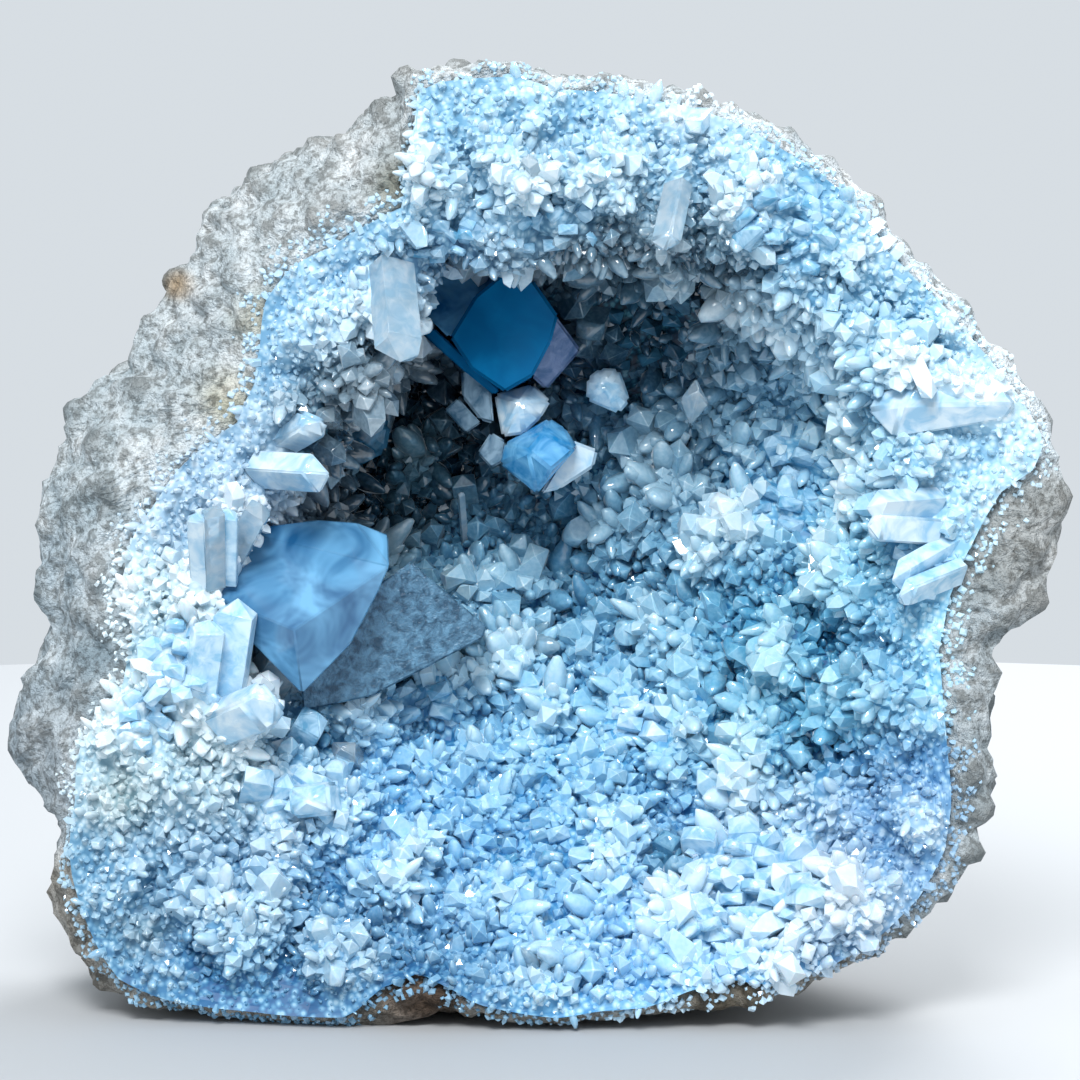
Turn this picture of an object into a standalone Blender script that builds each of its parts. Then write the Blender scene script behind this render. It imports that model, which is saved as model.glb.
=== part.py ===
import math
import random

import bmesh
import bpy
import numpy as np
from mathutils import Matrix, Vector, noise
from mathutils.bvhtree import BVHTree

# Everything is worked in millimetres and turned to metres when a mesh is filled
toMetres = 0.001
segments = 72

# How the picture is read: a distant eye a little above the stone
eyeDistance = 700
eyeTilt = math.radians(5)
aimPoint = (0, -35, 81)
halfView = 89.75
halfPicture = 540

# Depths run back from a plane in front of the stone
frontPlane = -50
backDepth = 100
backCentre = (0, 78)
mouthAxis = (-15, 95)
hollowDepth = 69
crustAtPole = 10
settingGap = 0.35
baseLow = 11
lumpHeight = 4.2
lumpSize = 26
ledgeHeight = 3.4
ledgeSize = 13

# Edge of the stone: pixel across, pixel down, depth
outlineReadings = [
    (397, 98, 20), (400, 75, 15), (440, 70, 14), (480, 66, 14), (520, 65, 14), (560, 78, 14),
    (620, 83, 15), (660, 90, 16), (700, 98, 17), (740, 112, 18), (780, 133, 18), (820, 158, 18),
    (855, 185, 17), (880, 215, 17), (900, 245, 16), (930, 275, 16), (960, 305, 15), (985, 335, 15),
    (1010, 365, 15), (1035, 400, 14), (1052, 435, 14), (1062, 470, 14), (1065, 500, 14),
    (1062, 530, 14), (1052, 560, 14), (1040, 590, 15), (1025, 620, 15), (1000, 637, 15),
    (993, 650, 14), (992, 700, 14), (992, 740, 13), (990, 775, 13), (985, 810, 12), (975, 850, 12),
    (955, 885, 12), (925, 915, 12), (880, 950, 11), (830, 975, 10), (790, 990, 10), (760, 1000, 9),
    (700, 1010, 9), (640, 1015, 9), (600, 1018, 9), (560, 1025, 9), (520, 1020, 9), (480, 1012, 9),
    (450, 1010, 10), (420, 1018, 10), (370, 1028, 12), (320, 1027, 14), (250, 1020, 18),
    (190, 1010, 20), (140, 1000, 22), (110, 990, 24), (85, 960, 26), (65, 935, 28), (52, 895, 30),
    (55, 860, 30), (60, 825, 30), (45, 800, 30), (25, 780, 30), (12, 745, 30), (13, 715, 31),
    (25, 690, 32), (30, 668, 32), (45, 655, 32), (50, 625, 33), (45, 600, 33), (42, 560, 33),
    (38, 530, 34), (42, 485, 34), (60, 465, 34), (68, 430, 34), (75, 410, 34), (85, 398, 34),
    (105, 375, 34), (130, 372, 34), (135, 345, 34), (150, 318, 34), (170, 298, 33), (172, 275, 32),
    (190, 260, 32), (200, 235, 31), (215, 205, 30), (250, 185, 28), (280, 165, 26), (320, 150, 24),
    (345, 140, 22), (370, 115, 21),
]

# Line where the crystals stop and bare rock begins: pixel across, pixel down
borderReadings = [
    (418, 90), (412, 150), (402, 205), (368, 222), (330, 245), (290, 265), (262, 300), (256, 345),
    (250, 385), (232, 425), (195, 452), (170, 475), (150, 505), (127, 540), (115, 590), (128, 640),
    (118, 690), (92, 722), (72, 760), (72, 805), (66, 840), (68, 875), (80, 915), (98, 955),
    (118, 982), (160, 1000), (250, 1011), (350, 1014), (380, 985), (420, 968), (455, 985),
    (485, 1003), (560, 1014), (640, 1004), (690, 985), (730, 974), (765, 980), (830, 962),
    (880, 932), (920, 893), (944, 850), (952, 800), (948, 750), (944, 700), (940, 650), (950, 600),
    (965, 560), (985, 520), (1003, 490), (1036, 468), (1046, 440), (1024, 400), (1000, 369),
    (975, 339), (950, 309), (920, 280), (890, 250), (870, 220), (845, 191), (811, 164), (773, 141),
    (735, 120), (697, 106), (657, 98), (620, 91), (560, 86), (520, 73), (480, 74), (440, 79),
]

# Section of the hollow in sixteen directions: picture radius and depth at the deep bend, the wall,
# the throat and the lip, then the depth of the crystal face and of the rock at the border
hollowSections = [
    (184, 60, 401, 38, 422, 22, 441, 11, 9, 12),
    (149, 60, 332, 36, 366, 22, 396, 13, 10, 13),
    (134, 60, 294, 36, 291, 22, 303, 12, 8, 13),
    (116, 62, 231, 38, 219, 22, 223, 12, 8, 12),
    (112, 64, 209, 38, 194, 24, 198, 13, 8, 11),
    (80, 66, 153, 40, 146, 26, 156, 16, 12, 14),
    (66, 68, 119, 44, 109, 28, 116, 16, 13, 17),
    (73, 68, 139, 46, 122, 30, 125, 18, 15, 19),
    (76, 68, 138, 46, 118, 30, 120, 20, 17, 20),
    (88, 66, 194, 42, 211, 30, 220, 20, 16, 20),
    (111, 64, 250, 38, 294, 26, 322, 16, 12, 16),
    (124, 64, 260, 40, 321, 27, 371, 19, 13, 12),
    (145, 60, 290, 42, 394, 27, 476, 15, 8, 7),
    (150, 62, 300, 44, 420, 28, 504, 15, 8, 7),
    (168, 62, 323, 42, 444, 28, 538, 16, 8, 9),
    (176, 58, 365, 32, 423, 22, 470, 13, 9, 12),
]

# Large crystals given by their corners: pixel across, pixel down, depth
cornerCrystals = {
    "hanging block": [
        (502, 274, 36), (525, 275, 35), (556, 314, 33), (552, 344, 33), (539, 371, 34),
        (504, 393, 37), (447, 335, 40), (405, 285, 50), (430, 262, 54), (579, 346, 46),
        (546, 392, 48), (470, 305, 68), (520, 340, 69), (430, 330, 69),
    ],
    "left crystal": [
        (197, 591, 20), (209, 572, 20), (244, 531, 22), (315, 520, 24), (358, 523, 22),
        (388, 534, 20), (391, 563, 17), (376, 591, 16), (339, 657, 13), (301, 692, 13),
        (301, 636, 9), (251, 605, 12), (225, 600, 34), (300, 600, 38), (345, 560, 34),
        (285, 680, 30),
    ],
    "frosted crystal": [
        (417, 563, 27), (487, 626, 30), (480, 645, 30), (431, 655, 29), (303, 711, 25),
        (301, 680, 25), (376, 591, 25), (420, 600, 50), (350, 690, 46), (440, 640, 50),
    ],
    "right crystal": [
        (865, 405, 13), (900, 372, 13), (966, 374, 11), (890, 440, 13), (960, 444, 11),
        (903, 402, 7), (970, 410, 6), (905, 405, 20), (945, 405, 15),
    ],
}

# Single prisms: root pixel and depth, tip pixel and depth, width
prismCrystals = [
    (515, 385, 66, 519, 412, 41, 8.0), (545, 420, 62, 543, 446, 36, 9.5),
    (530, 455, 60, 525, 475, 36, 8.5), (480, 372, 66, 478, 400, 48, 6.0),
    (672, 196, 13, 661, 250, 8, 5.0), (400, 292, 18, 402, 363, 13, 6.0),
    (262, 462, 24, 332, 472, 15, 7.0), (300, 440, 22, 318, 405, 14, 4.5),
    (205, 572, 24, 208, 505, 14, 3.8), (222, 568, 24, 226, 510, 15, 3.8),
    (350, 430, 66, 358, 430, 47, 10.0), (600, 390, 66, 598, 387, 47, 8.5),
    (918, 505, 13, 862, 518, 8, 4.2), (922, 532, 13, 868, 540, 8, 4.2),
    (928, 562, 11, 884, 575, 5, 4.6), (925, 592, 11, 882, 602, 5, 4.6),
    (712, 400, 50, 706, 385, 34, 5.5), (212, 700, 22, 238, 606, 7, 8.0),
    (180, 700, 22, 170, 630, 9, 7.0), (280, 690, 24, 282, 636, 10, 6.5),
    (700, 880, 20, 715, 838, 5, 8.0), (760, 900, 18, 772, 850, 4, 9.0),
    (800, 930, 16, 826, 862, 4, 8.5), (740, 960, 14, 730, 915, 3, 7.5),
    (650, 755, 46, 640, 712, 24, 9.5), (565, 800, 48, 548, 768, 26, 7.0),
]

# Smaller crystals that stand all over the crust
smallCrystals = 58
smallSpacing = 11
pointSpacing = 6.2
pointHeight = (1.6, 3.4)
smallWidth = (4.0, 7.0)
smallStand = (3.5, 7.0)
smallRoot = 3.0
deepRoot = 4.0
lowestCrystal = 11
crustSpare = 3
seed = 11


def clearScene():
    for item in list(bpy.data.objects):
        bpy.data.objects.remove(item, do_unlink=True)


def plainMaterial(name, colour, roughness):
    material = bpy.data.materials.new(name)
    material.use_nodes = True
    shader = material.node_tree.nodes["Principled BSDF"]
    shader.inputs["Base Color"].default_value = (*colour, 1)
    shader.inputs["Roughness"].default_value = roughness
    return material


# Readings of the picture turned into places on the stone
def viewScale(depth):
    focal = halfPicture * eyeDistance / halfView
    reach = eyeDistance + (frontPlane + depth - aimPoint[1])
    return reach / focal


def fromPicture(across, down, depth):
    forward = (0, math.cos(eyeTilt), -math.sin(eyeTilt))
    upward = (0, math.sin(eyeTilt), math.cos(eyeTilt))
    eye = [aimPoint[i] - forward[i] * eyeDistance for i in range(3)]
    focal = halfPicture * eyeDistance / halfView
    side = (across - halfPicture) / focal
    rise = (halfPicture - down) / focal
    ray = (side, forward[1] + upward[1] * rise, forward[2] + upward[2] * rise)
    reach = (frontPlane + depth - eye[1]) / ray[1]
    return Vector((eye[0] + ray[0] * reach, frontPlane + depth, eye[2] + ray[2] * reach))


def polarTable(points):
    turned = []
    for point in points:
        x = point[0] - mouthAxis[0]
        z = point[2] - mouthAxis[1]
        turned.append((math.degrees(math.atan2(z, x)) % 360, math.hypot(x, z), point[1] - frontPlane))
    return np.array(sorted(turned))


def roundTable(angles, table):
    return [np.interp(angles, table[:, 0], table[:, i], period=360) for i in (1, 2)]


# Smooth closed interpolation between evenly spaced directions
def smoothAround(angles, values):
    count = len(values)
    place = angles / 360 * count
    low = np.floor(place).astype(int)
    t = place - low
    picked = [values[(low + step) % count] for step in (-1, 0, 1, 2)]
    a = 2 * picked[1]
    b = picked[2] - picked[0]
    c = 2 * picked[0] - 5 * picked[1] + 4 * picked[2] - picked[3]
    d = 3 * picked[1] - picked[0] - 3 * picked[2] + picked[3]
    return 0.5 * (a + b * t + c * t * t + d * t * t * t)


# Rings between stations, each station an array of radius and depth over all directions
def ringsBetween(stations, steps):
    stations = np.array(stations)
    padded = np.concatenate([stations[:1], stations, stations[-1:]])
    rings = []
    for index, count in enumerate(steps):
        before, start, end, after = padded[index:index + 4]
        for step in range(count):
            t = step / count
            curve = 2 * start + (end - before) * t
            curve = curve + (2 * before - 5 * start + 4 * end - after) * t * t
            curve = curve + (3 * start - before - 3 * end + after) * t ** 3
            rings.append(0.5 * curve)
    rings.append(stations[-1])
    return rings


def placeRing(ring, angles):
    turn = np.radians(angles)
    x = mouthAxis[0] + ring[0] * np.cos(turn)
    z = mouthAxis[1] + ring[0] * np.sin(turn)
    return np.stack([x, frontPlane + ring[1], z], axis=1)


def ringNormals(rings):
    grid = np.array(rings)
    along = np.gradient(grid, axis=0)
    around = np.roll(grid, -1, axis=1) - np.roll(grid, 1, axis=1)
    normals = np.cross(around, along)
    normals /= np.maximum(np.linalg.norm(normals, axis=2, keepdims=True), 1e-9)
    return normals


def lumpAt(point, size, seedShift):
    place = Vector(point) / size + Vector((seedShift, seedShift * 1.7, 0))
    return noise.noise(place) + 0.45 * noise.noise(place * 2.3)


# Stations of the hollow, of the bed under the crystals and of the outside
def readStone():
    angles = np.arange(segments) * 360 / segments
    outline = polarTable([fromPicture(*reading) for reading in outlineReadings])
    edgeRadius, edgeDepth = roundTable(angles, outline)
    sections = np.array(hollowSections, float)
    around = [smoothAround(angles, sections[:, i]) for i in range(sections.shape[1])]
    border = polarTable([fromPicture(*reading, 12) for reading in borderReadings])
    borderRadius = np.minimum(roundTable(angles, border)[0], edgeRadius - 1.6)
    borderDepth = np.minimum(around[9], edgeDepth - 1)
    zero = np.zeros(segments)
    hollow = [np.array([zero, zero + hollowDepth])]
    for i in (0, 2, 4, 6):
        hollow.append(np.array([around[i] * viewScale(around[i + 1]), around[i + 1]]))
    lip = hollow[-1]
    lip[0] = np.minimum(lip[0], borderRadius - 5.5)
    hollow[-2][0] = np.minimum(hollow[-2][0], lip[0] + 1)
    hollow.append(np.array([(lip[0] + borderRadius) / 2, around[8]]))
    hollow.append(np.array([borderRadius - 0.5, borderDepth - 2.2]))
    room = borderRadius - lip[0]
    bed = [np.array([zero, zero + hollowDepth + crustAtPole])]
    bed.append(hollow[1] + np.array([zero + 3, zero + 9]))
    bed.append(hollow[2] + np.array([zero + 9, zero + 4]))
    bed.append(hollow[3] + np.array([np.minimum(zero + 10, room * 0.30 + 3), zero + 4]))
    bed.append(lip + np.array([np.minimum(zero + 8, room * 0.35), zero + 8]))
    bed.append(hollow[5] + np.array([np.minimum(zero + 3, room * 0.2), zero + 6]))
    bed.append(np.array([borderRadius, borderDepth]))
    return angles, hollow, bed, (edgeRadius, edgeDepth)


# A sphere's net carries every surface here, its rings and poles moved to their places
def meshFromRings(name, firstPole, rings, lastPole):
    count = len(rings)
    shape = bmesh.new()
    bmesh.ops.create_uvsphere(shape, u_segments=segments, v_segments=count + 1, radius=1)
    for vertex in shape.verts:
        latitude = math.acos(max(-1, min(1, vertex.co.z))) / math.pi * (count + 1)
        ringNumber = round(latitude)
        if ringNumber == 0:
            vertex.co = Vector(firstPole) * toMetres
        elif ringNumber == count + 1:
            vertex.co = Vector(lastPole) * toMetres
        else:
            turn = math.atan2(vertex.co.y, vertex.co.x) / (2 * math.pi) * segments
            place = rings[ringNumber - 1][round(turn) % segments]
            vertex.co = Vector(place) * toMetres
    bmesh.ops.triangulate(shape, faces=shape.faces[:], quad_method="FIXED")
    bmesh.ops.recalc_face_normals(shape, faces=shape.faces[:])
    return shape


def objectFrom(shape, name, collection, material=None):
    mesh = bpy.data.meshes.new(name)
    shape.to_mesh(mesh)
    shape.free()
    made = bpy.data.objects.new(name, mesh)
    collection.objects.link(made)
    if material:
        mesh.materials.append(material)
    return made


# The back keeps the drift of the edge but not its every notch
def softened(ring, spread):
    total = np.zeros_like(ring)
    weights = 0
    for step in range(-3 * spread, 3 * spread + 1):
        weight = math.exp(-0.5 * (step / spread) ** 2)
        total += np.roll(ring, step, axis=0) * weight
        weights += weight
    return total / weights


def outsideRings(angles, edge):
    backTurns = [0.08, 0.18, 0.29, 0.41, 0.53, 0.65, 0.76, 0.86, 0.94]
    squareness = 2 / 2.9
    rim = placeRing(np.array(edge), angles)
    down = np.radians(angles)
    under = np.clip(-np.sin(down), 0, 1) ** 5
    soft = softened(rim, 3)
    rings = [rim]
    for turn in backTurns:
        quarter = turn * math.pi / 2
        share = math.cos(quarter) ** squareness
        reach = math.sin(quarter) ** squareness
        drift = min(1, turn * 2.4)
        line = rim * (1 - drift) + soft * drift
        ring = np.empty_like(rim)
        ring[:, 0] = backCentre[0] + (line[:, 0] - backCentre[0]) * share
        ring[:, 2] = backCentre[1] + (line[:, 2] - backCentre[1]) * share
        lowering = math.sin(min(1, turn * 2.6) * math.pi / 2) * share ** 0.4
        ring[:, 2] -= under * baseLow * lowering
        ring[:, 1] = rim[:, 1] + (frontPlane + backDepth - rim[:, 1]) * reach
        rings.append(ring)
    return rings


def lumpyRings(rings, quiet):
    normals = ringNormals(rings)
    done = []
    for index, ring in enumerate(rings):
        strength = min(1, index / quiet) if quiet else 1
        moved = ring.copy()
        for j in range(segments):
            height = lumpAt(ring[j], lumpSize, 3.1) * lumpHeight * strength
            height *= min(1, max(0.15, (ring[j][2] + 2) / 22))
            moved[j] = ring[j] + normals[index][j] * height
        done.append(moved)
    return done


def makeShell(angles, bed, edge, collection):
    bedRings = [placeRing(ring, angles) for ring in ringsBetween(bed, (1, 1, 2, 1, 1, 1))]
    bedPole = bedRings[0][0]
    bedRings = bedRings[1:]
    back = outsideRings(angles, edge)
    face = []
    for share in (0.25, 0.5, 0.75):
        ring = bedRings[-1] * (1 - share) + back[0] * share
        width = np.linalg.norm(back[0] - bedRings[-1], axis=1)
        crest = math.sin(share * math.pi)
        ring[:, 1] -= np.minimum(width * 0.16, 4) * crest
        for j in range(segments):
            ledge = min(width[j] * 0.16, ledgeHeight) * crest
            ring[j, 1] += lumpAt(ring[j], ledgeSize, 9.2) * ledge
        face.append(ring)
    back = [back[0]] + lumpyRings(back, 2)[1:]
    backPole = (backCentre[0], frontPlane + backDepth, backCentre[1])
    shape = meshFromRings("rock_shell", bedPole, bedRings + face + back, backPole)
    cut = bmesh.ops.bisect_plane(
        shape, geom=shape.verts[:] + shape.edges[:] + shape.faces[:], dist=1e-6,
        plane_co=(0, 0, 0), plane_no=(0, 0, -1), clear_outer=True,
    )
    rims = [item for item in cut["geom_cut"] if isinstance(item, bmesh.types.BMEdge)]
    bmesh.ops.holes_fill(shape, edges=rims, sides=0)
    bmesh.ops.triangulate(shape, faces=[face for face in shape.faces if len(face.verts) > 3])
    bmesh.ops.recalc_face_normals(shape, faces=shape.faces[:])
    rock = plainMaterial("Pale limestone rind", (0.62, 0.63, 0.61), 0.9)
    return objectFrom(shape, "rock_shell", collection, rock), bedPole, bedRings


def crustRings(angles, hollow, bedPole, bedRings):
    normals = ringNormals([np.repeat(bedPole[None], segments, axis=0)] + bedRings)[1:]
    under = [ring - normal * settingGap * facing(normal) for ring, normal in zip(bedRings, normals)]
    inward = under[-1] - bedRings[-1]
    inward[:, 0] = (mouthAxis[0] - bedRings[-1][:, 0]) * 0.008
    inward[:, 2] = (mouthAxis[1] - bedRings[-1][:, 2]) * 0.008
    inward[:, 1] = -settingGap
    under[-1] = bedRings[-1] + inward
    over = [placeRing(ring, angles) for ring in ringsBetween(hollow, (3, 3, 3, 2, 2, 2))]
    overPole = over[0][0]
    over = over[1:]
    for ring in over[:-2]:
        for j in range(segments):
            ring[j, 1] -= 1.2 * lumpAt(ring[j], 11, 5.3)
    return under, raisedPoints(over[::-1]), overPole


# Low crystal points over the whole crust, drawn from its own net
def raisedPoints(over):
    dice = random.Random(seed + 1)
    grid = np.array(over)
    normals = ringNormals(over)
    order = [(i, j) for i in range(1, len(over) - 1) for j in range(segments)]
    dice.shuffle(order)
    chosen = []
    for i, j in order:
        place = Vector(grid[i][j])
        beside = (Vector(grid[i][(j + 1) % segments]) - place).length
        if beside < pointSpacing * 0.6 or place.z < lowestCrystal * 0.6:
            continue
        if any((place - other).length < pointSpacing for other in chosen):
            continue
        outward = towardsMouth(Vector(normals[i][j]), place)
        outward = (outward + Vector([dice.uniform(-0.5, 0.5) for axis in range(3)])).normalized()
        over[i][j] = place + outward * dice.uniform(*pointHeight)
        chosen.append(place)
    print("raised points", len(chosen))
    return over


def towardsMouth(normal, place):
    toMouth = Vector((mouthAxis[0], frontPlane - 15, mouthAxis[1])) - place
    return -normal if normal.dot(toMouth) < 0 else normal


# Normals of the bed all point the same way, into the rock or out of it
def facing(normal):
    return 1 if np.mean(normal[:, 1]) > 0 else -1


def makeCrustBase(angles, hollow, bedPole, bedRings, collection, material):
    under, over, overPole = crustRings(angles, hollow, bedPole, bedRings)
    polePoint = bedPole - np.array([0, settingGap, 0])
    shape = meshFromRings("crystal_crust", polePoint, under + over, overPole)
    body = BVHTree.FromPolygons(
        [vertex.co / toMetres for vertex in shape.verts],
        [[vertex.index for vertex in face.verts] for face in shape.faces],
    )
    return objectFrom(shape, "crystal_crust", collection, material), over, body


# One crystal: a prism whose top is sliced to a dome or a point
def prismShape(width, height, thickness, slices):
    shape = bmesh.new()
    bmesh.ops.create_cube(shape, size=1)
    bmesh.ops.scale(shape, vec=(width, thickness, height), verts=shape.verts)
    bmesh.ops.translate(shape, vec=(0, 0, height / 2), verts=shape.verts)
    for turn, slope, peak in slices:
        tilt = math.radians(slope)
        spin = math.radians(turn)
        normal = (math.cos(spin) * math.sin(tilt), math.sin(spin) * math.sin(tilt), math.cos(tilt))
        cut = bmesh.ops.bisect_plane(
            shape, geom=shape.verts[:] + shape.edges[:] + shape.faces[:], dist=1e-6,
            plane_co=(0, 0, height * peak), plane_no=normal, clear_outer=True,
        )
        rims = [item for item in cut["geom_cut"] if isinstance(item, bmesh.types.BMEdge)]
        if rims:
            bmesh.ops.holes_fill(shape, edges=rims, sides=0)
    return shape


def standCrystal(name, root, direction, length, width, thickness, spin, slices, collection):
    shape = prismShape(width * toMetres, length * toMetres, thickness * toMetres, slices)
    turn = Vector((0, 0, 1)).rotation_difference(Vector(direction).normalized()).to_matrix()
    place = Matrix.Translation(Vector(root) * toMetres) @ turn.to_4x4() @ Matrix.Rotation(spin, 4, "Z")
    bmesh.ops.transform(shape, matrix=place, verts=shape.verts)
    bmesh.ops.recalc_face_normals(shape, faces=shape.faces[:])
    made = objectFrom(shape, name, collection)
    made.hide_render = True
    made.display_type = "WIRE"
    return made


def cornerCrystal(name, corners, collection):
    shape = bmesh.new()
    for corner in corners:
        shape.verts.new(fromPicture(*corner) * toMetres)
    hull = bmesh.ops.convex_hull(shape, input=shape.verts[:])
    spare = [item for item in hull["geom_interior"] if isinstance(item, bmesh.types.BMVert)]
    bmesh.ops.delete(shape, geom=spare, context="VERTS")
    bmesh.ops.recalc_face_normals(shape, faces=shape.faces[:])
    made = objectFrom(shape, name, collection)
    made.hide_render = True
    made.display_type = "WIRE"
    return made


# A crystal starts a little under the surface it grows from, never as deep as the rock
def rootUnder(tip, aim, body):
    way = (aim - tip).normalized()
    hit = body.ray_cast(tip, way)
    if hit[0] is None:
        return aim
    beyond = body.ray_cast(hit[0] + way * 0.01, way)
    room = beyond[3] if beyond[0] is not None else deepRoot
    return hit[0] + way * min(deepRoot, room * 0.5)


def domeSlices(dice):
    slope = dice.uniform(38, 52)
    lean = dice.uniform(-8, 8)
    return [
        (0, slope + lean, 1), (180, slope - lean, 1),
        (90, dice.uniform(50, 64), 1.04), (270, dice.uniform(50, 64), 1.04),
    ]


def growCrystals(over, body, collection):
    dice = random.Random(seed)
    for name, corners in cornerCrystals.items():
        cornerCrystal(name, corners, collection)
    taken = []
    for number, reading in enumerate(prismCrystals):
        tip = fromPicture(*reading[3:6])
        root = rootUnder(tip, fromPicture(*reading[0:3]), body)
        width = reading[6]
        standCrystal(
            f"prism {number}", root, tip - root, (tip - root).length, width,
            width * dice.uniform(0.75, 1), dice.uniform(0, 3), domeSlices(dice), collection,
        )
        taken.append((tip, 5))
    for corners in cornerCrystals.values():
        for corner in corners:
            taken.append((fromPicture(*corner), 4))
    grid = np.array(over)
    normals = ringNormals(over)
    made = 0
    for attempt in range(9000):
        if made == smallCrystals:
            break
        ring = dice.randrange(1, len(over) - 1)
        spot = dice.randrange(segments)
        root = Vector(grid[ring][spot])
        if root.z < lowestCrystal:
            continue
        if any((root - place).length < smallSpacing * 0.5 + reach for place, reach in taken):
            continue
        outward = towardsMouth(Vector(normals[ring][spot]), root)
        lean = Vector([dice.uniform(-0.35, 0.35) for axis in range(3)])
        outward = (outward + lean + Vector((0, -0.25, 0))).normalized()
        stand = dice.uniform(*smallStand)
        width = dice.uniform(*smallWidth)
        below = body.ray_cast(root - outward * 0.05, -outward)
        if below[3] is None or below[3] < smallRoot + crustSpare:
            continue
        start = root - outward * smallRoot
        standCrystal(
            f"small {made}", start, outward, stand + smallRoot, width,
            width * dice.uniform(0.6, 0.95), dice.uniform(0, 3), domeSlices(dice), collection,
        )
        taken.append((root, smallSpacing * 0.5))
        made += 1
    print("small crystals", made)


def settleOnOrigin(objects):
    bpy.context.view_layer.update()
    corners = []
    graph = bpy.context.evaluated_depsgraph_get()
    for item in objects:
        shaped = item.evaluated_get(graph)
        mesh = shaped.to_mesh()
        corners.extend([vertex.co.copy() for vertex in mesh.vertices])
        shaped.to_mesh_clear()
    shift = Vector((0, 0, 0))
    for axis in (0, 1):
        values = [corner[axis] for corner in corners]
        shift[axis] = -(min(values) + max(values)) / 2
    for item in bpy.data.objects:
        if item.type == "MESH":
            item.data.transform(Matrix.Translation(shift))
    print("moved by mm", [round(value / toMetres, 3) for value in shift])


clearScene()
stone = bpy.data.collections.new("Celestite geode")
bpy.context.scene.collection.children.link(stone)
seeds = bpy.data.collections.new("Crystals joined into the crust")
bpy.context.scene.collection.children.link(seeds)
angles, hollow, bed, edge = readStone()
shell, bedPole, bedRings = makeShell(angles, bed, edge, stone)
celestite = plainMaterial("Pale blue celestite", (0.42, 0.66, 0.80), 0.2)
crust, over, body = makeCrustBase(angles, hollow, bedPole, bedRings, stone, celestite)
growCrystals(over, body, seeds)
join = crust.modifiers.new("Crystals grown together", "BOOLEAN")
join.operation = "UNION"
join.operand_type = "COLLECTION"
join.collection = seeds
join.solver = "EXACT"
settleOnOrigin([shell, crust])
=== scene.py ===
import math
import random

import bmesh
import bpy
import numpy as np
from mathutils import Matrix, Vector, noise
from mathutils.bvhtree import BVHTree


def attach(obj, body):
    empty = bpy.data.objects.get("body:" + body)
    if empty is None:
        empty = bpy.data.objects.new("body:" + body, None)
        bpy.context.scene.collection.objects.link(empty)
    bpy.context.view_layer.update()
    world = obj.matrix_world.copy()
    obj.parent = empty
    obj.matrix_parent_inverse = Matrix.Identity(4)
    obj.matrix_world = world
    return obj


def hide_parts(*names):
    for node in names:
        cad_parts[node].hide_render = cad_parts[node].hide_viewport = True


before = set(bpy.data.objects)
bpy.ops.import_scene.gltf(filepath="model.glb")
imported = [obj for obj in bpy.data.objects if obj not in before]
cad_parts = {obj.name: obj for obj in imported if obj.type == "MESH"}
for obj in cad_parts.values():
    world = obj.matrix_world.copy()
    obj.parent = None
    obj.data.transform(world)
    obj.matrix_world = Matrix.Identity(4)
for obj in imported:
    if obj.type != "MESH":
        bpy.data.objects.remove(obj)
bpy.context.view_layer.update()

mm = 0.001
celestiteIndex = 1.62
# The solids are moved by this much to stand with the middle of their box on the origin
settled = Vector((1.259, -1.028, 0))

# How the picture is read: a distant eye a little above the stone, depths from a plane in front
reading = {
    "eyeDistance": 700,
    "eyeTilt": math.radians(5),
    "aimPoint": (0, -35, 81),
    "halfView": 89.75,
    "halfPicture": 540,
    "frontPlane": -50,
}
frontPlane = reading["frontPlane"]
focal = reading["halfPicture"] * reading["eyeDistance"] / reading["halfView"]

stone = {
    "backDepth": 100,
    "backCentre": (0, 78),
    "mouthAxis": (-15, 95),
    "hollowDepth": 69,
    "crustAtPole": 10,
    "settingGap": 0.35,
    "bedSteps": (2, 3, 4, 3, 4, 4),
    "baseLow": 11,
    "backSquareness": 2.9,
    "lumpHeight": 4.2,
    "lumpSize": 26,
    "ledgeHeight": 3.4,
    "ledgeSize": 13,
}
mouthAxis = stone["mouthAxis"]

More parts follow.
